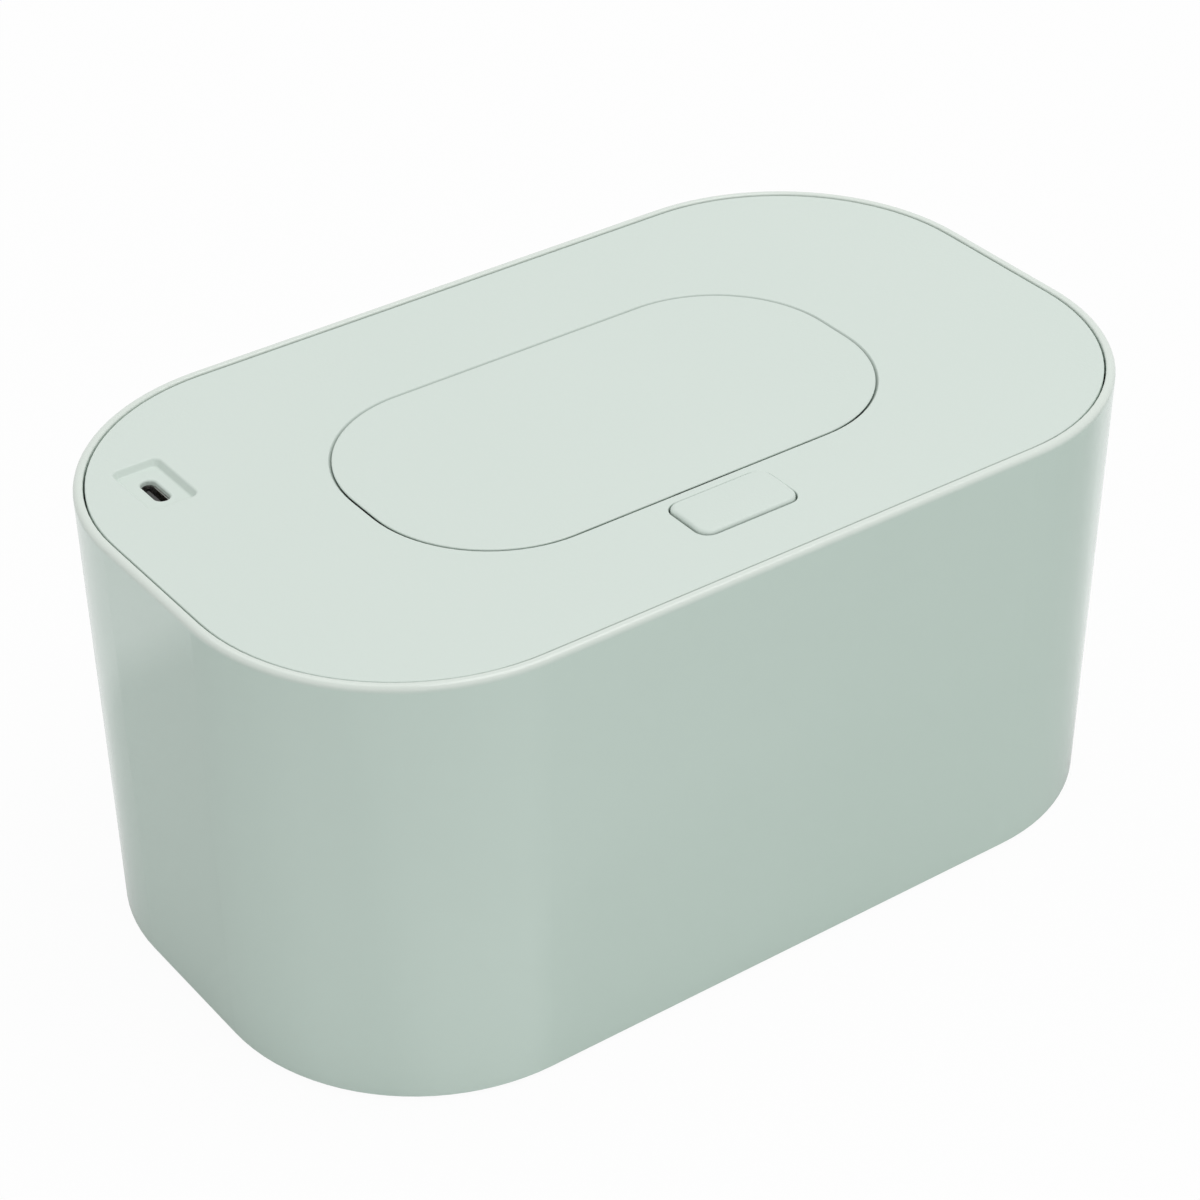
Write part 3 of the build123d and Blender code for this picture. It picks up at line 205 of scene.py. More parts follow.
shell_mint = (0.622, 0.745, 0.677)
shell_flow = (0.612, 0.737, 0.667)
# The paler band round the rim, from rim_foot up to rim_crest, is a painted highlight.
rim_painted_highlight = (0.688, 0.751, 0.698)
rim_foot, rim_crest = 98.3 * mm, 99.2 * mm
shell_finish = Finish("shell_gloss", shell_mint, 0.13, IOR=1.5)
shell_up = shell_finish.axes()[2]
melt = shell_finish.noise(90 * mm, 3.0, (1, 1, 2.5))
rub = shell_finish.noise(12 * mm, 4.0)
shell_finish.use(
    Base_Color=shell_finish.tint(
        shell_finish.range(shell_up, rim_foot, rim_crest),
        shell_finish.mottle(melt, 0.35, 0.65, shell_flow),
        rim_painted_highlight,
    ),
    Roughness=shell_finish.roughness(rub, 0.10, 0.16),
)
shell_finish.relief(shell_finish.noise(18 * mm, 1.0), 0.06 * mm)
dress(shell_finish, "outer_shell")

# ---- Inner tub -----------------------------------------------------------------------
# The wipes chamber, moulded in white polypropylene with ribs across its floor, and hung
# by its flange on the shell's ledge. Its draw leaves faint upright streaks.
tub_white = (0.84, 0.84, 0.82)
tub_milky = (0.80, 0.81, 0.80)
tub_finish = Finish("tub_polypropylene", tub_white, 0.34, IOR=1.49)
tub_clouds = tub_finish.noise(30 * mm, 3.0)
draw_streaks = tub_finish.noise(1.2 * mm, 2.0, (1, 1, 30))
tub_grain = tub_finish.noise(0.5 * mm, 2.0)
tub_finish.use(
    Base_Color=tub_finish.mottle(tub_clouds, 0.35, 0.65, tub_milky),
    Roughness=tub_finish.roughness(draw_streaks, 0.28, 0.40),
)
tub_bump = tub_finish.relief(draw_streaks, 0.01 * mm)
tub_finish.relief(tub_grain, 0.01 * mm, tub_bump)
dress(tub_finish, "inner_tub")

# ---- Insulation ----------------------------------------------------------------------
# White closed-cell polyethylene foam: a sleeve wrapped round the tub and a pad under
# its floor. Both are die-cut from sheet, so their edges are soft and their cells show.
foam_white = (0.82, 0.82, 0.81)
foam_shade = (0.66, 0.66, 0.65)
foam_finish = Finish("insulation_foam", foam_white, 0.85, IOR=1.4)
foam_cells = foam_finish.cells(1.1 * mm)
foam_finish.use(
    Base_Color=foam_finish.mottle(foam_cells, 0.25, 0.75, foam_shade),
    Roughness=foam_finish.range(foam_cells, 0.2, 0.7, 0.75, 0.92),
)
foam_finish.relief(1 - foam_cells, 0.25 * mm)


def placed(name, mesh, finish, body, slot, *stands_for):
    """Adds a finished mesh that rides on a body and may stand for CAD nodes."""
    if finish is not None:
        mesh.materials.clear()
        mesh.materials.append(finish.material)
    piece = bpy.data.objects.new(name, mesh)
    bpy.context.scene.collection.objects.link(piece)
    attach(piece, body)
    if stands_for:
        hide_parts(*stands_for)
    return piece


weld_gap = 0.001 * mm
foam_sharp = math.radians(40)
foam_flat = math.radians(1)
edge_steps = 4
for foam, foam_edge in (("insulation_sleeve", 0.7 * mm), ("insulation_pad", 0.9 * mm)):
    sheet = bmesh.new()
    sheet.from_mesh(node[foam].data)
    bmesh.ops.remove_doubles(sheet, verts=sheet.verts, dist=weld_gap)
    bmesh.ops.dissolve_limit(
        sheet, angle_limit=foam_flat, verts=sheet.verts, edges=sheet.edges
    )
    rims = [edge for edge in sheet.edges if edge.calc_face_angle(0) > foam_sharp]
    bmesh.ops.bevel(
        sheet,
        geom=rims,
        offset=foam_edge,
        segments=edge_steps,
        profile=0.5,
        affect="EDGES",
    )
    bmesh.ops.recalc_face_normals(sheet, faces=sheet.faces)
    for face in sheet.faces:
        face.smooth = True
    cut_foam = bpy.data.meshes.new(foam + "_soft")
    sheet.to_mesh(cut_foam)
    sheet.free()
    placed(foam + "_soft", cut_foam, foam_finish, "base", "foam_white", foam)

# ---- Base plate ----------------------------------------------------------------------
# Closes the shell from below, moulded in the same mint ABS with a fine spark-eroded
# texture. Its lip holds the sleeve and six screws draw it up to the tub.
base_finish = Finish("base_texture", shell_mint, 0.45, IOR=1.5)
base_clouds = base_finish.noise(50 * mm, 2.0)
base_spark = base_finish.noise(0.35 * mm, 3.0)
base_finish.use(
    Base_Color=base_finish.mottle(base_clouds, 0.35, 0.65, shell_flow),
    Roughness=base_finish.roughness(base_spark, 0.40, 0.55),
)
base_finish.relief(base_spark, 0.02 * mm)
dress(base_finish, "base_plate")

# ---- Feet ----------------------------------------------------------------------------
# Four grey silicone pads bonded into seats in the base plate. Fine rings moulded in
# their faces hold them on a smooth table.
foot_grey = (0.45, 0.46, 0.46)
foot_dusty = (0.52, 0.53, 0.53)
foot_x, foot_y = 82.5 * mm, 32.3 * mm
foot_ring_pitch = 0.9 * mm
feet_finish = Finish("foot_silicone", foot_grey, 0.7, IOR=1.42)
feet_east, feet_north = feet_finish.axes()[:2]
beside_x = feet_finish.maths("ABSOLUTE", feet_east) - foot_x
beside_y = feet_finish.maths("ABSOLUTE", feet_north) - foot_y
out_from_foot = feet_finish.maths("SQRT", beside_x * beside_x + beside_y * beside_y)
foot_rings = feet_finish.maths("PINGPONG", out_from_foot / foot_ring_pitch, 0.5) * 2
foot_dust = feet_finish.noise(1.5 * mm, 4.0)
feet_finish.use(
    Base_Color=feet_finish.mottle(foot_dust, 0.45, 0.75, foot_dusty),
    Roughness=feet_finish.roughness(foot_dust, 0.62, 0.80),
)
feet_finish.relief(foot_rings, 0.15 * mm)
dress(feet_finish, "base_feet")

# ---- Screws --------------------------------------------------------------------------
# Zinc-plated thread-forming screws with pan heads and cross recesses: six large ones in
# the base, six in the cover, and nine small ones that hold the pieces inside the cover.
zinc = (0.62, 0.63, 0.64)
zinc_blue = (0.52, 0.56, 0.62)
screw_finish = Finish("screw_zinc", zinc, 0.32, Metallic=1.0)
plating = screw_finish.noise(0.9 * mm, 4.0)
screw_finish.use(
    Base_Color=screw_finish.mottle(plating, 0.4, 0.7, zinc_blue),
    Roughness=screw_finish.roughness(screw_finish.noise(0.3 * mm, 3.0), 0.22, 0.42),
)
screw_finish.relief(plating, 0.01 * mm)


class Recipe(Nodes):
    """A Geometry Nodes tree with named inputs for its sizes."""

    steps_round = 24

    def __init__(self, name, *sizes):
        super().__init__(bpy.data.node_groups.new(name, "GeometryNodeTree"))
        face = self.tree.interface
        face.new_socket("Geometry", in_out="OUTPUT", socket_type="NodeSocketGeometry")
        face.new_socket("Geometry", in_out="INPUT", socket_type="NodeSocketGeometry")
        face.new_socket("Material", in_out="INPUT", socket_type="NodeSocketMaterial")
        for size in sizes:
            face.new_socket(size, in_out="INPUT", socket_type="NodeSocketFloat")
        self.given = self.add("NodeGroupInput")
        self.sizes = [Amount(self, self.given.outputs[size]) for size in sizes]

    def vector(self, x=0.0, y=0.0, z=0.0):
        return self.add("ShaderNodeCombineXYZ", None, {0: x, 1: y, 2: z}).outputs[0]

    def turned(self, rows, radius, height):
        """A band turned about Z: radius and height follow its share round and along."""
        band = self.add(
            "GeometryNodeMeshGrid",
            None,
            {
                "Size X": 1.0,
                "Size Y": 1.0,
                "Vertices X": self.steps_round + 1,
                "Vertices Y": rows,
            },
        )
        here = self.add("GeometryNodeInputPosition").outputs[0]
        split = self.add("ShaderNodeSeparateXYZ", None, {0: here})
        share_round = Amount(self, split.outputs[0]) + 0.5
        along = Amount(self, split.outputs[1]) + 0.5
        angle = share_round * math.tau
        reach = radius(share_round, along)
        spot = self.vector(
            reach * self.maths("COSINE", angle),
            reach * self.maths("SINE", angle),
            height(along),
        )
        inputs = {"Geometry": band.outputs["Mesh"], "Position": spot}
        return self.add("GeometryNodeSetPosition", None, inputs).outputs[0]

    def finish(self, geometry):
        """Ends the tree in Realize Instances and Set Material."""
        solid = self.add("GeometryNodeRealizeInstances", None, {0: geometry}).outputs[0]
        inputs = {"Geometry": solid, "Material": self.given.outputs["Material"]}
        painted = self.add("GeometryNodeSetMaterial", None, inputs).outputs[0]
        self.add("NodeGroupOutput", None, {0: painted})


def grown(name, places, recipe, finish, sizes):
    """Runs a recipe on points at the given places and returns the mesh it makes."""
    seeds = bpy.data.meshes.new(name + "_places")
    seeds.from_pydata(places, [], [])
    holder = bpy.data.objects.new(name + "_places", seeds)
    bpy.context.scene.collection.objects.link(holder)
    growth = holder.modifiers.new("recipe", "NODES")
    growth.node_group = recipe.tree
    values = {"Material": finish.material, **sizes}
    for item in recipe.tree.interface.items_tree:
        if item.in_out == "INPUT" and item.name in values:
            growth[item.identifier] = values[item.name]
    bpy.context.view_layer.update()
    ready = holder.evaluated_get(bpy.context.evaluated_depsgraph_get())
    mesh = bpy.data.meshes.new_from_object(ready)
    bpy.data.objects.remove(holder)
    mesh.name = name
    return mesh


screw_sizes = ("Head Radius", "Head Height", "Shank Radius", "Length", "Pitch", "Depth")
screw_recipe = Recipe("pan_screws", *screw_sizes)
head_radius, head_height, shank, length, thread_pitch, depth = screw_recipe.sizes
quarter = math.pi / 2
dome_power = 0.55
dome_rows, flat_rows, thread_rows = 9, 2, 44
tip_share = 0.5
thread_run_in = 0.7 * mm
tip_run = 1.1 * mm
arm_long, arm_wide, arm_deep = 1.1, 0.28, 1.1
band_weld, recess_weld = 0.002 * mm, 0.0005 * mm
turn_seed = 7


def dome(wave, along):
    """How far a pan head's rounded profile has reached, as a share."""
    swing = screw_recipe.maths(wave, along * quarter)
    return screw_recipe.maths("POWER", swing, dome_power)


def thread_radius(share_round, along):
    """The shank's radius: a helical ridge faded at both ends, and a tapered tip."""
    high = along * length
    left = length - high
    ridge = screw_recipe.maths("PINGPONG", high / thread_pitch - share_round, 0.5) * 2
    run_in = screw_recipe.maths("MINIMUM", high / thread_run_in, 1.0)
    run_out = screw_recipe.maths("MINIMUM", left / tip_run, 1.0)
    taper = run_out * (1 - tip_share) + tip_share
    return (shank - ridge * depth * run_in * run_out) * taper


bands = [
    screw_recipe.turned(
        dome_rows,
        lambda share_round, along: head_radius * dome("SINE", along),
        lambda along: head_height * -1 * dome("COSINE", along),
    ),
    screw_recipe.turned(
        flat_rows,
        lambda share_round, along: head_radius + (shank - head_radius) * along,
        lambda along: 0.0,
    ),
    screw_recipe.turned(thread_rows, thread_radius, lambda along: along * length),
    screw_recipe.turned(
        flat_rows,
        lambda share_round, along: shank * tip_share * (1 - along),
        lambda along: length,
    ),
]
joined = screw_recipe.add("GeometryNodeJoinGeometry", None, {0: bands}).outputs[0]
blank = screw_recipe.add(
    "GeometryNodeMergeByDistance", None, {"Geometry": joined, "Distance": band_weld}
).outputs[0]
arms = []
for across, along in ((arm_long, arm_wide), (arm_wide, arm_long)):
    arm_size = screw_recipe.vector(
        head_radius * across, head_radius * along, head_height * arm_deep
    )
    arm = screw_recipe.add("GeometryNodeMeshCube", None, {"Size": arm_size}).outputs[0]
    lowered = screw_recipe.vector(0.0, 0.0, head_height * -1)
    inputs = {"Geometry": arm, "Translation": lowered}
    arms.append(screw_recipe.add("GeometryNodeTransform", None, inputs).outputs[0])
recessed = screw_recipe.add(
    "GeometryNodeMeshBoolean",
    {"operation": "DIFFERENCE", "solver": "EXACT"},
    {"Mesh 1": blank, "Mesh 2": arms, "Self Intersection": True},
).outputs[0]
welded = screw_recipe.add(
    "GeometryNodeMergeByDistance", None, {"Geometry": recessed, "Distance": recess_weld}
).outputs[0]
turn = screw_recipe.add(
    "FunctionNodeRandomValue",
    {"data_type": "FLOAT"},
    {2: 0.0, 3: math.tau, "Seed": turn_seed},
)
stood = screw_recipe.add(
    "GeometryNodeInstanceOnPoints",
    None,
    {
        "Points": screw_recipe.given.outputs["Geometry"],
        "Instance": welded,
        "Rotation": screw_recipe.vector(z=turn.outputs[1]),
    },
).outputs[0]
screw_recipe.finish(stood)

large_screw = dict(
    zip(screw_sizes, [2.75 * mm, 2.0 * mm, 1.45 * mm, 6.4 * mm, 1.06 * mm, 0.28 * mm])
)
small_screw = dict(
    zip(screw_sizes, [1.9 * mm, 1.3 * mm, 1.0 * mm, 5.6 * mm, 0.8 * mm, 0.2 * mm])
)
base_seat, cover_seat, tray_seat, board_seat = 5.3, 83.4, 88.5, 88.8
base_places = [(x, y, base_seat) for x in (-60.5, 0, 60.5) for y in (-40.3, 40.3)]
cover_places = [(x, 0, cover_seat) for x in (-93.75, 93.75)]
cover_places += [(x, y, cover_seat) for x in (-45.5, 45.5) for y in (-51.3, 51.3)]
tray_places = [(x, y, tray_seat) for x in (-40.75, 39.25) for y in (-34.87, 32.33)]
carrier_places = [(x, -41.6, tray_seat) for x in (-18.15, 16.85)]
board_corners = ((-88.8, 15.2), (-67.2, 15.2), (-67.2, 35.8))
board_places = [(x, y, board_seat) for x, y in board_corners]
for name, places, sizes, body in (
    ("base_screws", base_places, large_screw, "base"),
    ("cover_screws", cover_places, large_screw, "cover"),
    ("inner_screws", tray_places + carrier_places + board_places, small_screw, "cover"),
):
    in_metres = [[value * mm for value in place] for place in places]
    threaded = grown(name + "_threaded", in_metres, screw_recipe, screw_finish, sizes)
    placed(name + "_threaded", threaded, None, body, "screw_steel", name)

# ---- Top cover -----------------------------------------------------------------------
# Plate, skirt, hinge ears and screw bosses in one mint ABS moulding from a finely
# blasted cavity. Its upright walls between the lid's ends get a painted shade just
# under the top, for the seams' shadow.
cover_mint = (0.640, 0.718, 0.668)
cover_flow = (0.632, 0.712, 0.661)


class Satin(Finish):
    """Blasted mint ABS, with clouds of colour of the given size."""

    def __init__(self, name, cloud):
        super().__init__(name, cover_mint, 0.42, IOR=1.5)
        blast = self.noise(0.6 * mm, 2.0)
        self.colour = self.mottle(self.noise(cloud, 2.0), 0.35, 0.65, cover_flow)
        self.gloss = self.roughness(blast, 0.38, 0.47)
        self.use(Base_Color=self.colour, Roughness=self.gloss)
        self.relief(blast, 0.02 * mm)


cover_finish = Satin("cover_satin", 110 * mm)
cover_east, _, cover_up = cover_finish.axes()
# Painted shadow of the seams round the lid and button: a darker band just under the top
# on upright walls between the lid's ends.
painted_seam_shade = (0.36, 0.42, 0.38)
seam_strength = 0.7
seam_reach = 66 * mm
edge_lit, edge_shaded = 99.33 * mm, 99.0 * mm
floor_lit, floor_shaded = 97.6 * mm, 98.0 * mm
below_edge = cover_finish.range(cover_up, edge_lit, edge_shaded)
above_floor = cover_finish.range(cover_up, floor_lit, floor_shaded)
by_lid = cover_finish.maths("ABSOLUTE", cover_east) < seam_reach
painted_shade_share = below_edge * above_floor * by_lid * seam_strength
cover_finish.use(
    Base_Color=cover_finish.tint(painted_shade_share, cover_finish.colour, painted_seam_shade)
)
dress(cover_finish, "top_cover")

# ---- Bottom cover --------------------------------------------------------------------
# White polypropylene plate that closes the cover from below. It carries the heater on
# heat-staked pins and has a window for each sensor.
inner_white = (0.84, 0.84, 0.82)
inner_cream = (0.79, 0.79, 0.77)
inner_finish = Finish("inner_plastic", inner_white, 0.38, IOR=1.49)
inner_clouds = inner_finish.noise(25 * mm, 3.0)
inner_spark = inner_finish.noise(0.4 * mm, 3.0)
inner_finish.use(
    Base_Color=inner_finish.mottle(inner_clouds, 0.35, 0.65, inner_cream),
    Roughness=inner_finish.roughness(inner_spark, 0.32, 0.46),
)
inner_finish.relief(inner_spark, 0.015 * mm)
dress(inner_finish, "bottom_cover")

# ---- Cover gasket --------------------------------------------------------------------
# A white silicone ring pressed into the groove of the bottom cover. It seals the wipes
# chamber on the tub's flange, and a bloom of fine dust dulls it.
silicone_white = (0.75, 0.76, 0.75)
silicone_dull = (0.68, 0.69, 0.68)
silicone_finish = Finish("white_silicone", silicone_white, 0.52, IOR=1.42)
bloom = silicone_finish.noise(2.0 * mm, 4.0)
silicone_finish.use(
    Base_Color=silicone_finish.mottle(bloom, 0.4, 0.75, silicone_dull),
    Roughness=silicone_finish.roughness(bloom, 0.44, 0.62),
)
silicone_finish.relief(silicone_finish.noise(0.25 * mm, 2.0), 0.01 * mm)
dress(silicone_finish, "cover_gasket")

# ---- Heater --------------------------------------------------------------------------
# A brushed aluminium plate with an etched-foil film stuck on it. The film is copper
# track between two sheets of amber polyimide.
alloy = (0.75, 0.75, 0.76)
alloy_dark = (0.62, 0.62, 0.64)
alloy_finish = Finish("brushed_aluminium", alloy, 0.34, Metallic=1.0)
brush = alloy_finish.noise(0.25 * mm, 3.0, (90, 1, 1))
alloy_finish.use(
    Base_Color=alloy_finish.mottle(brush, 0.35, 0.7, alloy_dark),
    Roughness=alloy_finish.roughness(brush, 0.26, 0.44),
)
alloy_finish.relief(brush, 0.01 * mm)
dress(alloy_finish, "heater_plate")

film_amber = (0.60, 0.22, 0.04)
film_copper = (0.36, 0.11, 0.03)
track_pitch = 2.4 * mm
track_edge, gap_edge = 0.20, 0.24
film_finish = Finish("polyimide_film", film_amber, 0.28, IOR=1.6, Coat_Weight=0.4)
film_north = film_finish.axes()[1]
beside_track = film_finish.maths("PINGPONG", film_north / track_pitch, 0.5)
track = film_finish.range(beside_track, track_edge, gap_edge, 1, 0)
film_finish.use(
    Base_Color=film_finish.tint(track, film_amber, film_copper),
    Roughness=film_finish.roughness(film_finish.noise(1.2 * mm, 3.0), 0.22, 0.36),
)
film_finish.relief(track, 0.03 * mm)
dress(film_finish, "heating_film")

# ---- Sensors -------------------------------------------------------------------------
# A thermal fuse in a drawn tinned can, and a glass thermistor bead, both standing on
# the film in the bottom cover's windows.
tin = (0.62, 0.62, 0.62)
tin_dull = (0.50, 0.50, 0.49)
can_finish = Finish("fuse_can", tin, 0.28, Metallic=1.0)
drawn = can_finish.noise(0.2 * mm, 3.0, (1, 25, 1))
can_finish.use(
    Base_Color=can_finish.mottle(drawn, 0.4, 0.7, tin_dull),
    Roughness=can_finish.roughness(drawn, 0.20, 0.38),
)
can_finish.relief(drawn, 0.01 * mm)
dress(can_finish, "thermal_fuse")

bead_brown = (0.20, 0.16, 0.10)
bead_dark = (0.10, 0.08, 0.05)
bead_finish = Finish("sensor_bead", bead_brown, 0.08, IOR=1.52, Coat_Weight=1.0)
swirl = bead_finish.noise(0.8 * mm, 3.0)
bead_finish.use(
    Base_Color=bead_finish.mottle(swirl, 0.4, 0.6, bead_dark),
    Roughness=bead_finish.roughness(swirl, 0.05, 0.14),
)
dress(bead_finish, "temperature_sensor")

# ---- Control board -------------------------------------------------------------------
# Glass-epoxy board under green solder mask, its copper tracks showing as paler raised
# lines. It carries the controller, a power switch, a coil and a capacitor.
mask_green = (0.020, 0.120, 0.050)
mask_track = (0.045, 0.200, 0.090)
line_pitch = 1.3 * mm
line_half = 0.16
board_finish = Finish("solder_mask", mask_green, 0.25, IOR=1.55, Coat_Weight=0.5)
board_east, board_north = board_finish.axes()[:2]
region = board_finish.noise(6 * mm, 0.0) > 0.5
along_x = board_finish.maths("PINGPONG", board_north / line_pitch, 0.5) < line_half
along_y = board_finish.maths("PINGPONG", board_east / line_pitch, 0.5) < line_half
copper = along_x * region + along_y * (1 - region)
board_finish.use(
    Base_Color=board_finish.tint(copper, mask_green, mask_track),
    Roughness=board_finish.roughness(board_finish.noise(2 * mm, 3.0), 0.18, 0.34),
)
board_finish.relief(copper, 0.03 * mm)
dress(board_finish, "control_board")

epoxy_black = (0.030, 0.030, 0.030)
ferrite_grey = (0.110, 0.110, 0.115)
can_silver = (0.60, 0.60, 0.61)
coil_end, can_start, can_lid = 21.0 * mm, 31.0 * mm, 95.3 * mm
can_polish = 0.12
chip_finish = Finish("board_components", epoxy_black, 0.42, IOR=1.55)
chip_north, chip_up = chip_finish.axes()[1:]
ferrite = chip_north < coil_end
bare_can = (chip_north > can_start) * (chip_up > can_lid)
mould_grain = chip_finish.noise(0.12 * mm, 3.0)
chip_finish.use(
    Base_Color=chip_finish.tint(
        bare_can, chip_finish.tint(ferrite, epoxy_black, ferrite_grey), can_silver
    ),
    Metallic=bare_can,
    Roughness=chip_finish.roughness(mould_grain, 0.34, 0.52)
    - bare_can * can_polish,
)
chip_finish.relief(mould_grain, 0.015 * mm)
dress(chip_finish, "board_chips")

# ---- Charging socket -----------------------------------------------------------------
# A nickel-plated steel shell stands on the board under the dish's slot. Inside it a
# black tongue carries twelve plated contacts on each side.
nickel = (0.62, 0.61, 0.60)
nickel_warm = (0.55, 0.53, 0.50)
socket_finish = Finish("socket_nickel", nickel, 0.26, Metallic=1.0)
rolled = socket_finish.noise(0.15 * mm, 3.0, (1, 1, 14))
socket_finish.use(
    Base_Color=socket_finish.mottle(rolled, 0.4, 0.7, nickel_warm),
    Roughness=socket_finish.roughness(rolled, 0.18, 0.34),
)
socket_finish.relief(rolled, 0.005 * mm)
dress(socket_finish, "usb_socket")

tongue_black = (0.030, 0.030, 0.030)
tongue_worn = (0.060, 0.060, 0.058)
tongue_finish = Finish("socket_tongue", tongue_black, 0.45, IOR=1.5)
glass_fill = tongue_finish.noise(0.1 * mm, 3.0, (1, 1, 3))
tongue_finish.use(
    Base_Color=tongue_finish.mottle(glass_fill, 0.4, 0.7, tongue_worn),
    Roughness=tongue_finish.roughness(glass_fill, 0.38, 0.55),
)
tongue_finish.relief(glass_fill, 0.01 * mm)
dress(tongue_finish, "usb_tongue")

contact_plate = (0.78, 0.70, 0.52)
contact_wiped = (0.70, 0.60, 0.42)
contact_finish = Finish("contact_plating", contact_plate, 0.22, Metallic=1.0)
wiped = contact_finish.noise(0.2 * mm, 3.0, (1, 1, 6))
contact_finish.use(
    Base_Color=contact_finish.mottle(wiped, 0.4, 0.7, contact_wiped),
    Roughness=contact_finish.roughness(wiped, 0.16, 0.32),
)
contact_count = 12
contact_recipe = Recipe("tongue_contacts", "Pitch", "Width", "Height", "Thickness")
contact_pitch, contact_width, contact_height, contact_thick = contact_recipe.sizes
first_contact = contact_pitch * (1 - contact_count) / 2
strip = contact_recipe.add(
    "GeometryNodeMeshLine",
    {"mode": "OFFSET"},
    {
        "Count": contact_count,
        "Start Location": contact_recipe.vector(y=first_contact),
        "Offset": contact_recipe.vector(y=contact_pitch),
    },
).outputs[0]
side_of_tongue = contact_recipe.add(
    "GeometryNodeInstanceOnPoints",
    None,
    {"Points": contact_recipe.given.outputs["Geometry"], "Instance": strip},
).outputs[0]
both_sides = contact_recipe.add(
    "GeometryNodeRealizeInstances", None, {0: side_of_tongue}
).outputs[0]
blade = contact_recipe.add(
    "GeometryNodeMeshCube",
    None,
    {"Size": contact_recipe.vector(contact_thick, contact_width, contact_height)},
).outputs[0]
contact_recipe.finish(
    contact_recipe.add(
        "GeometryNodeInstanceOnPoints", None, {"Points": both_sides, "Instance": blade}
    ).outputs[0]
)
tongue_x, tongue_y = -86.2 * mm, 30.5 * mm
tongue_half, contact_middle = 0.35 * mm, 93.7 * mm
contacts = grown(
    "tongue_contacts",
    [(tongue_x + side * tongue_half, tongue_y, contact_middle) for side in (-1, 1)],
    contact_recipe,
    contact_finish,
    {
        "Pitch": 0.5 * mm,
        "Width": 0.25 * mm,
        "Height": 3.0 * mm,
        "Thickness": 0.1 * mm,
    },
)
placed("tongue_contacts", contacts, None, "cover", "socket_steel")

# ---- Heater leads --------------------------------------------------------------------
# Two silicone-insulated wires from the board down to the film's solder pads. Their
# smooth red sleeves take a faint lengthwise flow from extrusion.
lead_red = (0.45, 0.030, 0.020)
lead_deep = (0.34, 0.022, 0.016)
lead_finish = Finish("lead_insulation", lead_red, 0.38, IOR=1.42)
flow_line = lead_finish.noise(0.5 * mm, 3.0)
lead_finish.use(
    Base_Color=lead_finish.mottle(flow_line, 0.4, 0.7, lead_deep),
    Roughness=lead_finish.roughness(flow_line, 0.32, 0.48),
)
lead_finish.relief(flow_line, 0.01 * mm)
dress(lead_finish, "heater_leads")

# ---- Dispensing tray and gate --------------------------------------------------------
# The white well under the lid, moulded like the bottom cover, with a collar for the
# lid's seal. A silicone funnel seated in its floor grips the next wipe.
dress(inner_finish, "dispensing_tray")
gate_finish = Finish("gate_silicone", silicone_white, 0.45, IOR=1.42)
gate_skin = gate_finish.noise(1.2 * mm, 3.0, (1, 1, 2))
gate_finish.use(
    Base_Color=gate_finish.mottle(gate_skin, 0.4, 0.75, silicone_dull),
    Roughness=gate_finish.roughness(gate_skin, 0.36, 0.54),
)
gate_finish.relief(gate_skin, 0.012 * mm)
dress(gate_finish, "wipe_gate")

# ---- Latch ---------------------------------------------------------------------------
# Carrier and slide in natural acetal, which runs without oil. The slide's nose holds
# the lid's catch, and two leaves that bend against the carrier return it.
acetal = (0.80, 0.80, 0.77)
acetal_waxy = (0.74, 0.74, 0.70)
acetal_finish = Finish("natural_acetal", acetal, 0.36, IOR=1.48)
waxy = acetal_finish.noise(3 * mm, 3.0)
tool_grain = acetal_finish.noise(0.2 * mm, 2.0)
acetal_finish.use(
    Base_Color=acetal_finish.mottle(waxy, 0.35, 0.7, acetal_waxy),
    Roughness=acetal_finish.roughness(tool_grain, 0.30, 0.44),
)
acetal_finish.relief(tool_grain, 0.01 * mm)
dress(acetal_finish, "latch_carrier")

sprung = bmesh.new()
sprung.from_mesh(node["latch_slide"].data)
bmesh.ops.remove_doubles(sprung, verts=sprung.verts, dist=weld_gap)
slide_mesh = bpy.data.meshes.new("latch_slide_sprung")
sprung.to_mesh(slide_mesh)
sprung.free()
slide_mesh.materials.append(acetal_finish.material)
slide = bpy.data.objects.new("latch_slide_sprung", slide_mesh)
bpy.context.scene.collection.objects.link(slide)
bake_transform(slide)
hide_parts("latch_slide")

# ---- Push button ---------------------------------------------------------------------
# A crowned cap moulded with the cover's blasted surface, worn slightly smoother in the
# middle where the thumb presses it.
button_x, button_y = -0.65 * mm, -41.6 * mm
thumb_length, thumb_width = 9 * mm, 5 * mm
button_finish = Satin("button_satin", 20 * mm)
button_east, button_north = button_finish.axes()[:2]
off_x = (button_east - button_x) / thumb_length
off_y = (button_north - button_y) / thumb_width
thumbed = button_finish.range(off_x * off_x + off_y * off_y, 0.2, 1.0, 0.06, 0)
button_finish.use(Roughness=button_finish.gloss - thumbed)
dress(button_finish, "push_button")

# ---- Lid -----------------------------------------------------------------------------
# The bevelled plate matches the cover's colour and surface. Two gooseneck arms carry it
# on steel pins, a spring on the left pin lifts it, and a silicone ring seals its edge.
lid_finish = Satin("lid_satin", 90 * mm)
dress(lid_finish, "lid")
dress(silicone_finish, "lid_seal")

pin_steel = (0.70, 0.70, 0.71)
pin_shade = (0.58, 0.58, 0.60)
pin_finish = Finish("ground_pin", pin_steel, 0.18, Metallic=1.0)
grind = pin_finish.noise(0.1 * mm, 3.0, (0.6, 12, 12))
pin_finish.use(
    Base_Color=pin_finish.mottle(grind, 0.4, 0.7, pin_shade),
    Roughness=pin_finish.roughness(grind, 0.12, 0.26),
)
pin_finish.relief(grind, 0.004 * mm)
dress(pin_finish, "hinge_pins")

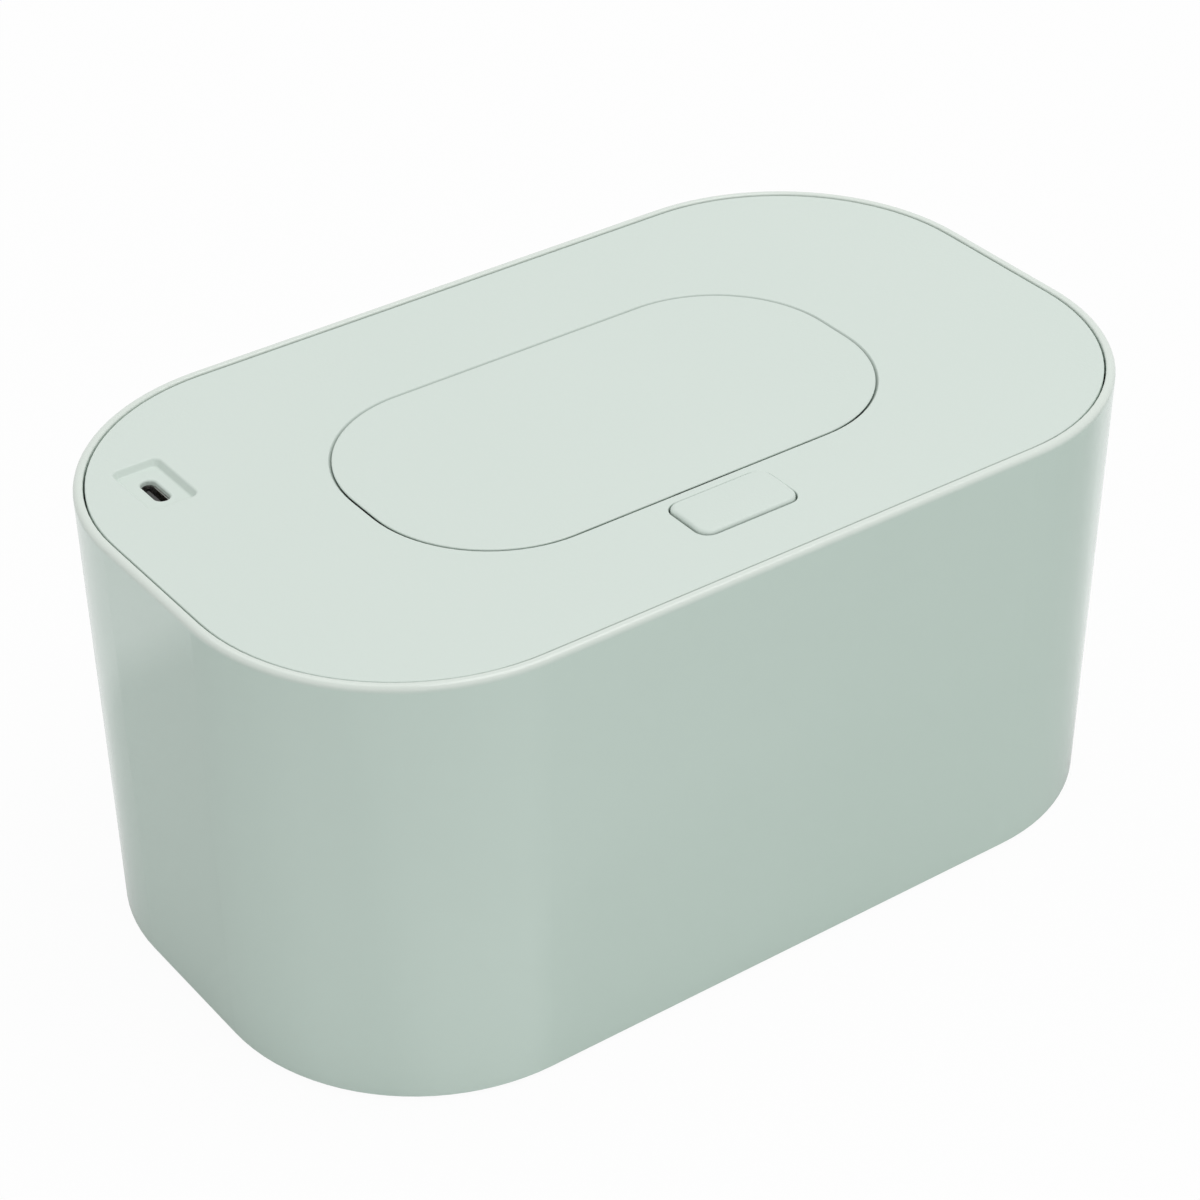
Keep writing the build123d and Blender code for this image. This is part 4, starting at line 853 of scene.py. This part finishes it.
wire_steel = (0.50, 0.50, 0.51)
wire_dark = (0.34, 0.34, 0.36)
wire_finish = Finish("spring_wire", wire_steel, 0.32, Metallic=1.0)
oiled = wire_finish.noise(0.6 * mm, 4.0)
wire_finish.use(
    Base_Color=wire_finish.mottle(oiled, 0.35, 0.7, wire_dark),
    Roughness=wire_finish.roughness(oiled, 0.24, 0.42),
)
wire_finish.relief(oiled, 0.006 * mm)
dress(wire_finish, "torsion_spring")

# ---- Stage ---------------------------------------------------------------------------
# A plain white table that keeps the object's soft shadow. Gloss and glass see broad
# bands of light and shade on it instead, which stand for a studio's reflectors and dark
# cards that aren't modelled. The bands' whites are fitted, not measured.
floor_half = 3.0
floor_level = -0.01 * mm
floor_corners = ((-1, -1), (1, -1), (1, 1), (-1, 1))
floor_mesh = bpy.data.meshes.new("table")
floor_mesh.from_pydata(
    [(x * floor_half, y * floor_half, floor_level) for x, y in floor_corners],
    [],
    [(0, 1, 2, 3)],
)
floor = bpy.data.objects.new("table", floor_mesh)
bpy.context.scene.collection.objects.link(floor)
floor_grey = (0.80, 0.80, 0.80)
shown_near, shown_far = 0.95, 1.0
fade_from, fade_to = 0.25, 1.2
gloss_white = 0.9
sheen_x, sheen_y = -0.072, -0.040
near_edge, far_edge = 0.098, 0.116

# Each pair is an angle about the sheen's centre in degrees and the white there.
near_sheen = (
    (-180, 0.60), (-150, 0.50), (-120, 0.95), (-90, 1.0), (-67, 1.0), (-58, 0.45),
    (-48, 0.25), (-15, 0.27), (-6, 0.45), (4, 1.0), (60, 0.9), (100, 0.95), (118, 0.42),
    (130, 0.32), (158, 0.38), (180, 0.60),
)
far_sheen = (
    (-180, 0.66), (-150, 0.67), (-120, 0.80), (-90, 0.88), (-67, 0.86), (-58, 0.56),
    (-48, 0.47), (-15, 0.27), (-6, 0.45), (4, 1.0), (60, 0.9), (100, 1.0), (118, 1.0),
    (130, 0.94), (142, 0.73), (180, 0.66),
)


def rays(nodes):
    """Whether a ray is the camera's own, and whether it comes off gloss or glass."""
    path = nodes.add("ShaderNodeLightPath").outputs
    mirrored = nodes.maths(
        "MAXIMUM", path["Is Glossy Ray"], path["Is Transmission Ray"]
    )
    return Amount(nodes, path["Is Camera Ray"]), mirrored


paper = Finish("table_white", floor_grey, 0.9)
paper_east, paper_north = paper.axes()[:2]
about_centre = paper.add(
    "ShaderNodeMapping",
    None,
    {"Vector": paper.place, "Location": (-sheen_x, -sheen_y, 0)},
)
sweep_round = paper.add(
    "ShaderNodeTexGradient",
    {"gradient_type": "RADIAL"},
    {"Vector": about_centre.outputs[0]},
)
near_band, far_band = (
    paper.add(
        "ShaderNodeValToRGB",
        {"stops": [(angle / 360 + 0.5, white) for angle, white in sheen]},
        {0: sweep_round.outputs[0]},
    ).outputs[0]
    for sheen in (near_sheen, far_sheen)
)
away = paper.range(paper.maths("ABSOLUTE", paper_north), near_edge, far_edge)
reach = paper.maths("SQRT", paper_east * paper_east + paper_north * paper_north)
shown_white = paper.range(reach, fade_from, fade_to, shown_near, shown_far)

seen, mirrored = rays(paper)
glow = paper.add(
    "ShaderNodeEmission",
    None,
    {"Color": paper.tint(seen, paper.tint(away, near_band, far_band), (1, 1, 1))},
)
lit_or_shown = paper.add(
    "ShaderNodeMixShader",
    None,
    {
        0: paper.maths("MAXIMUM", seen * shown_white, mirrored * gloss_white),
        1: paper.shader.outputs[0],
        2: glow.outputs[0],
    },
)
paper.tree.links.new(
    lit_or_shown.outputs[0], paper.tree.nodes["Material Output"].inputs["Surface"]
)
floor.data.materials.append(paper.material)

# White surroundings: half strength as light, full strength where they are seen.
room = bpy.data.worlds.new("studio")
bpy.context.scene.world = room
room.use_nodes = True
room_light = 0.534
surround = Nodes(room.node_tree)
shown = surround.maths("MAXIMUM", *rays(surround))
background = room.node_tree.nodes["Background"]
background.inputs["Color"].default_value = (1, 1, 1, 1)
room.node_tree.links.new(
    (shown * (1 - room_light) + room_light).socket, background.inputs["Strength"]
)

# A key above the front right corner, one softbox behind the object and two weak fills.
lamp_aim = Vector((0, 0, 0.05))
for name, place, size, power in (
    ("key", (0.30, -0.30, 1.2), 0.8, 5.4),
    ("rear", (-0.10, 0.50, 1.2), 0.8, 2.3),
    ("left_fill", (-1.20, -0.30, 0.9), 1.0, 0.8),
    ("front_fill", (-0.30, -1.30, 0.7), 1.0, 1.3),
):
    lamp = bpy.data.lights.new(name, "AREA")
    lamp.shape = "SQUARE"
    lamp.size = size
    lamp.energy = power
    softbox = bpy.data.objects.new(name, lamp)
    bpy.context.scene.collection.objects.link(softbox)
    softbox.location = place
    softbox.rotation_mode = "QUATERNION"
    toward = lamp_aim - softbox.location
    softbox.rotation_quaternion = toward.to_track_quat("-Z", "Y")

# ---- Camera --------------------------------------------------------------------------
# A long lens from the front left and above, aimed near the middle of the body. The
# shifts are in pixels of the frame and the turns in degrees.
focal_pixels = 3334.506
frame_pixels = 1200
sensor_width = 36.0
yaw, pitch, roll = (math.radians(turn) for turn in (35.774, 34.418, -0.430))
distance = 0.69166
shift_right, shift_up = 8.787, -1.413
aim = Vector((0, 0, 0.0533))
level = Vector((math.cos(yaw), -math.sin(yaw), 0))
forward = Vector(
    (math.sin(yaw) * math.cos(pitch), math.cos(yaw) * math.cos(pitch), -math.sin(pitch))
)
upright = level.cross(forward)
right = level * math.cos(roll) + upright * math.sin(roll)
up = upright * math.cos(roll) - level * math.sin(roll)
lens = bpy.data.cameras.new("camera")
lens.sensor_width = sensor_width
lens.lens = focal_pixels * sensor_width / frame_pixels
camera = bpy.data.objects.new("camera", lens)
bpy.context.scene.collection.objects.link(camera)
metres_per_pixel = distance / focal_pixels
camera.matrix_world = Matrix.Translation(
    aim
    - forward * distance
    - right * (shift_right * metres_per_pixel)
    - up * (shift_up * metres_per_pixel)
) @ Matrix((right, up, -forward)).transposed().to_4x4()
bpy.context.scene.camera = camera
bpy.context.scene.view_settings.view_transform = "Standard"
